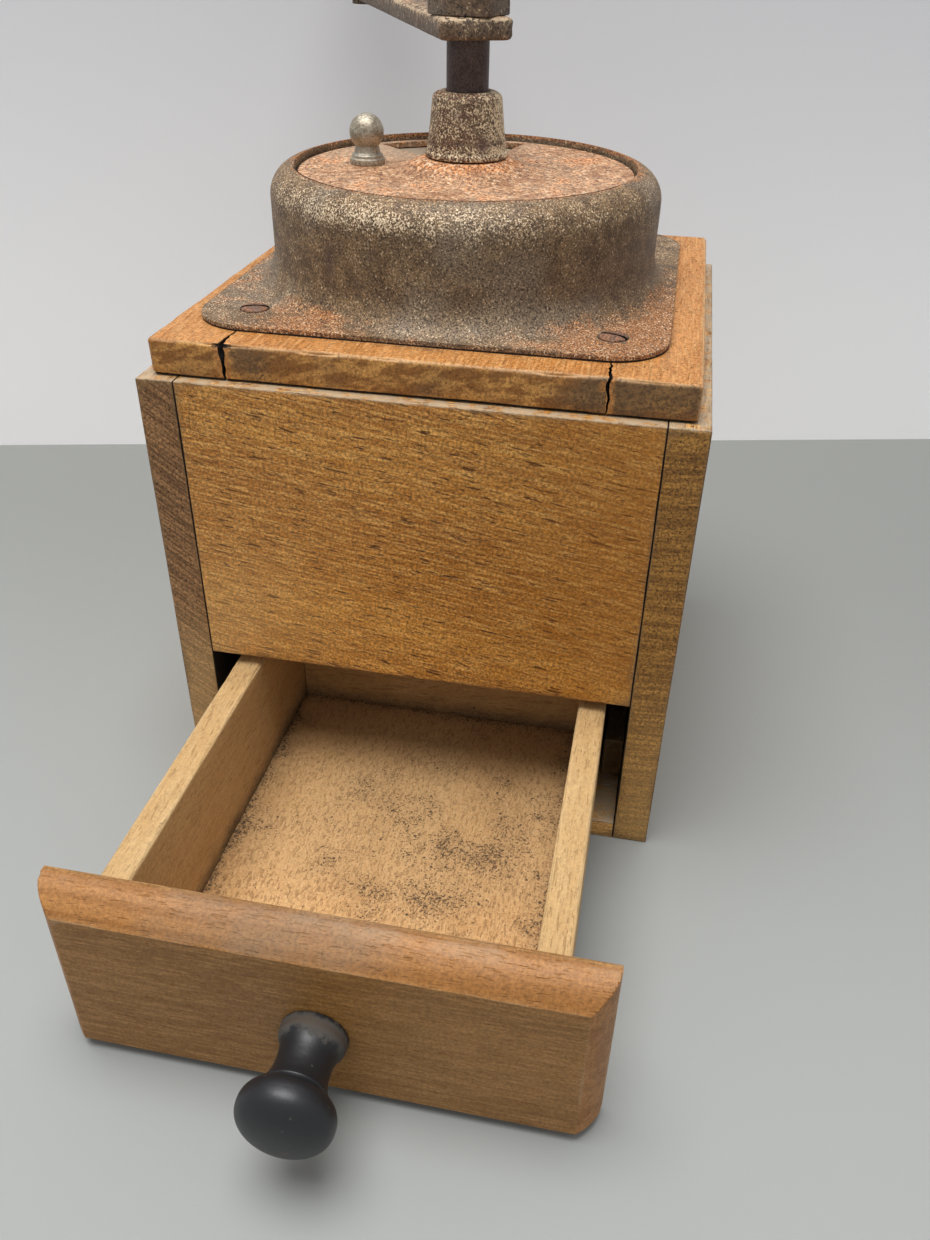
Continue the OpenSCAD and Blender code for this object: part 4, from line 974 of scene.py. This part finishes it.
# A node tree that sets one tool at every point, along the point's aim and turned by its turn
def makePlacer(name):
    tree = bpy.data.node_groups.new(name, "GeometryNodeTree")
    for label, way, kind in (("Spots", "INPUT", "Geometry"), ("Tool", "INPUT", "Object"),
                             ("Finish", "INPUT", "Material"), ("Sway", "INPUT", "Float"),
                             ("Placed", "OUTPUT", "Geometry")):
        tree.interface.new_socket(label, in_out=way, socket_type="NodeSocket" + kind)
    made = {}
    for key, kind in (("in", "NodeGroupInput"), ("out", "NodeGroupOutput"),
                      ("aim", "GeometryNodeInputNamedAttribute"), ("turn", "GeometryNodeInputNamedAttribute"),
                      ("align", "FunctionNodeAlignRotationToVector"),
                      ("spin", "FunctionNodeAxisAngleToRotation"), ("both", "FunctionNodeRotateRotation"),
                      ("sway", "FunctionNodeRandomValue"), ("sum", "ShaderNodeMath"),
                      ("tool", "GeometryNodeObjectInfo"), ("set", "GeometryNodeInstanceOnPoints"),
                      ("real", "GeometryNodeRealizeInstances"), ("coat", "GeometryNodeSetMaterial")):
        made[key] = tree.nodes.new(kind)
    made["aim"].data_type, made["turn"].data_type = "FLOAT_VECTOR", "FLOAT"
    made["aim"].inputs["Name"].default_value = "aim"
    made["turn"].inputs["Name"].default_value = "turn"
    made["align"].axis = "Z"
    made["both"].rotation_space = "LOCAL"
    made["sway"].data_type = "FLOAT"
    made["sway"].inputs["Seed"].default_value = 7
    links = [("in", "Spots", "set", "Points"), ("in", "Tool", "tool", "Object"),
             ("tool", "Geometry", "set", "Instance"), ("aim", "Attribute", "align", "Vector"),
             ("align", "Rotation", "both", "Rotation"), ("sum", "Value", "spin", "Angle"),
             ("spin", "Rotation", "both", "Rotate By"), ("both", "Rotation", "set", "Rotation"),
             ("set", "Instances", "real", "Geometry"), ("real", "Geometry", "coat", "Geometry"),
             ("in", "Finish", "coat", "Material"), ("coat", "Geometry", "out", "Placed")]
    for start, output, end, socket in links:
        tree.links.new(made[start].outputs[output], made[end].inputs[socket])
    swayOut = next(o for o in made["sway"].outputs if o.type == "VALUE")
    lowest, highest = [i for i in made["sway"].inputs if i.type == "VALUE"][:2]
    lowest.default_value = 0.0
    tree.links.new(made["in"].outputs["Sway"], highest)
    tree.links.new(made["turn"].outputs["Attribute"], made["sum"].inputs[0])
    tree.links.new(swayOut, made["sum"].inputs[1])
    return tree


placer = makePlacer("placeFasteners")


def placeAll(name, tool, material, spots, aims, turns, sway):
    mesh = bpy.data.meshes.new(name + "Spots")
    mesh.from_pydata((np.array(spots) * mm).tolist(), [], [])
    aim = mesh.attributes.new("aim", "FLOAT_VECTOR", "POINT")
    aim.data.foreach_set("vector", np.array(aims, np.float32).ravel())
    turn = mesh.attributes.new("turn", "FLOAT", "POINT")
    turn.data.foreach_set("value", np.radians(turns).astype(np.float32))
    holder = bpy.data.objects.new(name + "Holder", mesh)
    scene.collection.objects.link(holder)
    live = holder.modifiers.new("place", "NODES")
    live.node_group = placer
    for item in placer.interface.items_tree:
        if item.in_out == "INPUT" and item.name != "Spots":
            live[item.identifier] = {"Tool": tool, "Finish": material, "Sway": sway}[item.name]
    whole = holder.evaluated_get(bpy.context.evaluated_depsgraph_get())
    made = bpy.data.meshes.new_from_object(whole)
    made.name = name
    made.polygons.foreach_set("material_index", np.zeros(len(made.polygons), np.int32))
    bpy.data.objects.remove(holder)
    bpy.data.objects.remove(tool)
    shadeAt(made, 38)
    piece = bpy.data.objects.new(name, made)
    scene.collection.objects.link(piece)
    return piece


# Flange screws: slotted, slightly domed, rusted in
screwLook = {**hoodLook, "body": (0.20, 0.112, 0.072), "dark": (0.11, 0.060, 0.040),
             "pale": (0.42, 0.290, 0.200), "cool": (0.20, 0.130, 0.090), "rust": (0.26, 0.118, 0.060),
             "rustFrom": 0.55, "flakeShare": 0.15, "mottle": 500, "metal": 0.15}
screwTop = boardTop + hoodShape["sheet"]
headRadius, slotHalf, slotDepth = 3.1, 0.5, 0.6
screw = [(0, -8.5, 0), (1.0, -8.3, 0), (1.5, -7.4, 0), (1.5, -1.9, 0), (headRadius, -0.6, 0.1),
         (headRadius, 0.35, 0.3), (2.2, 0.6, 0), (1.1, 0.73, 0), (0, 0.76, 0)]
screwTool = makeLathe("screwTool", screw, False, (0, 0, 0), {"soil": lambda p: 0.3 + 0 * p[:, 0]}, 64)
slotBox = makeBoard("slotTool", np.array([-4, -slotHalf, -slotDepth]), np.array([4, slotHalf, 1.5]), 0,
                    {"radius": 0.05, "cell": 4, "knock": 9, "dent": 0, "ripple": 0, "seed": 1})
carve(screwTool, [slotBox])
# Painted shade: the slots painted near black
blacken(screwTool, lambda p, n: (np.abs(p[:, 1]) < slotHalf + 0.02)
        & (np.abs(p[:, 2]) < slotDepth + 0.05) & (np.hypot(p[:, 0], p[:, 1]) < headRadius + 0.05))
screwSteel = pittedFinish("screwSteel", screwLook)
screws = placeAll("flangeScrews", screwTool, screwSteel,
                  [(x, y, screwTop) for x, y in screwSpots], [(0, 0, 1)] * 4, [8, 70, 160, 35], 0.2)
dress(screws, "case", "hood_steel", screwSteel, "hood_screws")

# Nails through the drawer's side walls
wallLow, wallHigh = boxOf("drawer_left_wall")
backLow, backHigh = boxOf("drawer_back_wall")
nailY = (backLow + backHigh)[1] / 2
nailZ = [wallLow[2] + share * (wallHigh - wallLow)[2] for share in (0.35, 0.75)]
nail = [(0, -16, 0), (0.7, -15.2, 0), (0.7, -0.6, 0), (1.4, -0.55, 0.1), (1.4, 0.02, 0.2), (0, 0.12, 0)]
nailTool = makeLathe("nailTool", nail, False, (0, 0, 0), steps=32)
steelLook = {**hoodLook, "body": (0.105, 0.067, 0.056), "dark": (0.062, 0.037, 0.032), "speck": 0.25,
             "pale": (0.20, 0.140, 0.110), "cool": (0.090, 0.064, 0.058), "rust": (0.16, 0.070, 0.040),
             "rustDark": (0.07, 0.033, 0.024), "rustFrom": 0.55, "flakeShare": 0.06, "metal": 0.5,
             "rough": 0.45, "relief": 0.0001}
darkSteel = pittedFinish("darkSteel", steelLook)
nails = placeAll("wallNails", nailTool, darkSteel,
                 [(x, nailY, z) for x in (wallLow[0], boxOf("drawer_right_wall")[1][0]) for z in nailZ],
                 [(-1, 0, 0)] * 2 + [(1, 0, 0)] * 2, [0, 40, 80, 120], 1.5)
dress(nails, "drawer", "dark_steel", darkSteel, "drawer_nails")
print("stage: screws and nails")

# Inner works keep their CAD shape and take a finish of their own
ironLook = {**hoodLook, "body": (0.085, 0.075, 0.068), "dark": (0.050, 0.043, 0.039),
            "pale": (0.17, 0.150, 0.130), "cool": (0.080, 0.076, 0.072), "rust": (0.17, 0.080, 0.042),
            "rustDark": (0.08, 0.040, 0.026), "mottle": 300, "grit": 700, "rustFrom": 0.64, "metal": 0.4,
            "rough": 0.6, "relief": 0.0004}
castIron = pittedFinish("castIron", ironLook)
plateLook = {**hoodLook, "body": (0.46, 0.350, 0.245), "dark": (0.38, 0.285, 0.195),
             "cool": (0.42, 0.335, 0.245), "rustFrom": 0.75, "speck": 0.15, "flakeShare": 0.1,
             "pitDepth": 0.2}
plateSteel = pittedFinish("plateSteel", plateLook)
inner = [(castIron, ["mill_body", "lower_bridge"]),
         (darkSteel, ["outer_burr", "inner_burr", "spindle", "drive_pin"]),
         (nickel, ["bridge_screws", "adjusting_wheel", "thrust_stem", "collar_lock_nut",
                   "drawer_knob_screw"]),
         (crankSteel, ["knob_pin", "knob_washer"]), (plateSteel, ["hood_plate"])]
for material, names in inner:
    for name in names:
        slots = nodes[name].data.materials
        if not slots:
            slots.append(material)
        for i in range(len(slots)):
            slots[i] = material
print("stage: inner works")


# Pale table and wall, each with one soft run of tone: the table darker towards the back, the wall painted
# brighter at its foot as painted light
def stageSheet(name, corners, tone):
    mesh = bpy.data.meshes.new(name)
    mesh.from_pydata(corners, [], [(0, 1, 2, 3)])
    sheet = bpy.data.objects.new(name, mesh)
    scene.collection.objects.link(sheet)
    f = Finish(name)
    split = f.add("ShaderNodeSeparateXYZ")
    f.feed(split.inputs[0], f.place)
    run = f.span(split.outputs[tone["axis"]], tone["start"], tone["end"])
    f.close(f.blend(run, tone["first"], tone["last"]), 0.8, f.cloud(9, detail=3), 0.00001)
    clear = f.add("ShaderNodeBsdfTransparent")
    pick = f.add("ShaderNodeMixShader")
    f.feed(pick.inputs[0], f.add("ShaderNodeNewGeometry").outputs["Backfacing"])
    f.feed(pick.inputs[1], f.shader.outputs[0])
    f.feed(pick.inputs[2], clear.outputs[0])
    f.feed(f.tree.nodes["Material Output"].inputs["Surface"], pick.outputs[0])
    mesh.materials.append(f.material)


tableHalf, wallHeight = 1.8, 1.5
leftEnd, rightEnd = (-1.487, -0.198), (1.424, 0.533)
tableTone = {"axis": 1, "start": -0.16, "end": 0.10, "first": (0.32, 0.33, 0.32),
             "last": (0.24, 0.245, 0.232)}
# Painted light: the wall is brighter at its foot and darker higher up
wallFootLight = {"axis": 2, "start": 0.0, "end": 0.26, "first": (0.99, 0.99, 1.0), "last": (0.58, 0.58, 0.605)}
stageSheet("table", [(x * tableHalf, y * tableHalf, 0) for x, y in ((-1, -1), (1, -1), (1, 1), (-1, 1))],
           tableTone)
stageSheet("wall", [(*leftEnd, 0), (*rightEnd, 0), (*rightEnd, wallHeight), (*leftEnd, wallHeight)], wallFootLight)

# Soft light from above, a little from the left and the front
lamp = bpy.data.objects.new("overhead", bpy.data.lights.new("overhead", "AREA"))
lamp.data.shape, lamp.data.size, lamp.data.energy = "DISK", 0.8, 14.5
lamp.location, lampAim = (-0.10, -0.14, 1.10), (0, 0, 0.08)
lamp.rotation_mode = "QUATERNION"
lamp.rotation_quaternion = (Vector(lampAim) - lamp.location).to_track_quat("-Z", "Y")
scene.collection.objects.link(lamp)
scene.world = bpy.data.worlds.new("room")
scene.world.use_nodes = True
sky = scene.world.node_tree.nodes["Background"]
sky.inputs["Color"].default_value, sky.inputs["Strength"].default_value = (0.98, 0.99, 1.0, 1), 0.52

# The photograph's camera
right, down = (0.98085, 0.19412, 0.01600), (0.12258, -0.55139, -0.82520)
ahead = (-0.15136, 0.81135, -0.56462)
cameraPlace, focalLength = (0.0476, -0.2508, 0.1946), 29.886
camera = bpy.data.objects.new("camera", bpy.data.cameras.new("camera"))
camera.data.sensor_width, camera.data.lens, camera.data.clip_start = 36, focalLength, 0.01
turn = Matrix([right, [-c for c in down], [-c for c in ahead]]).transposed()
camera.matrix_world = Matrix.Translation(cameraPlace) @ turn.to_4x4()
scene.collection.objects.link(camera)
scene.camera = camera
scene.view_settings.view_transform = "Standard"
print("stage: table, light and camera")
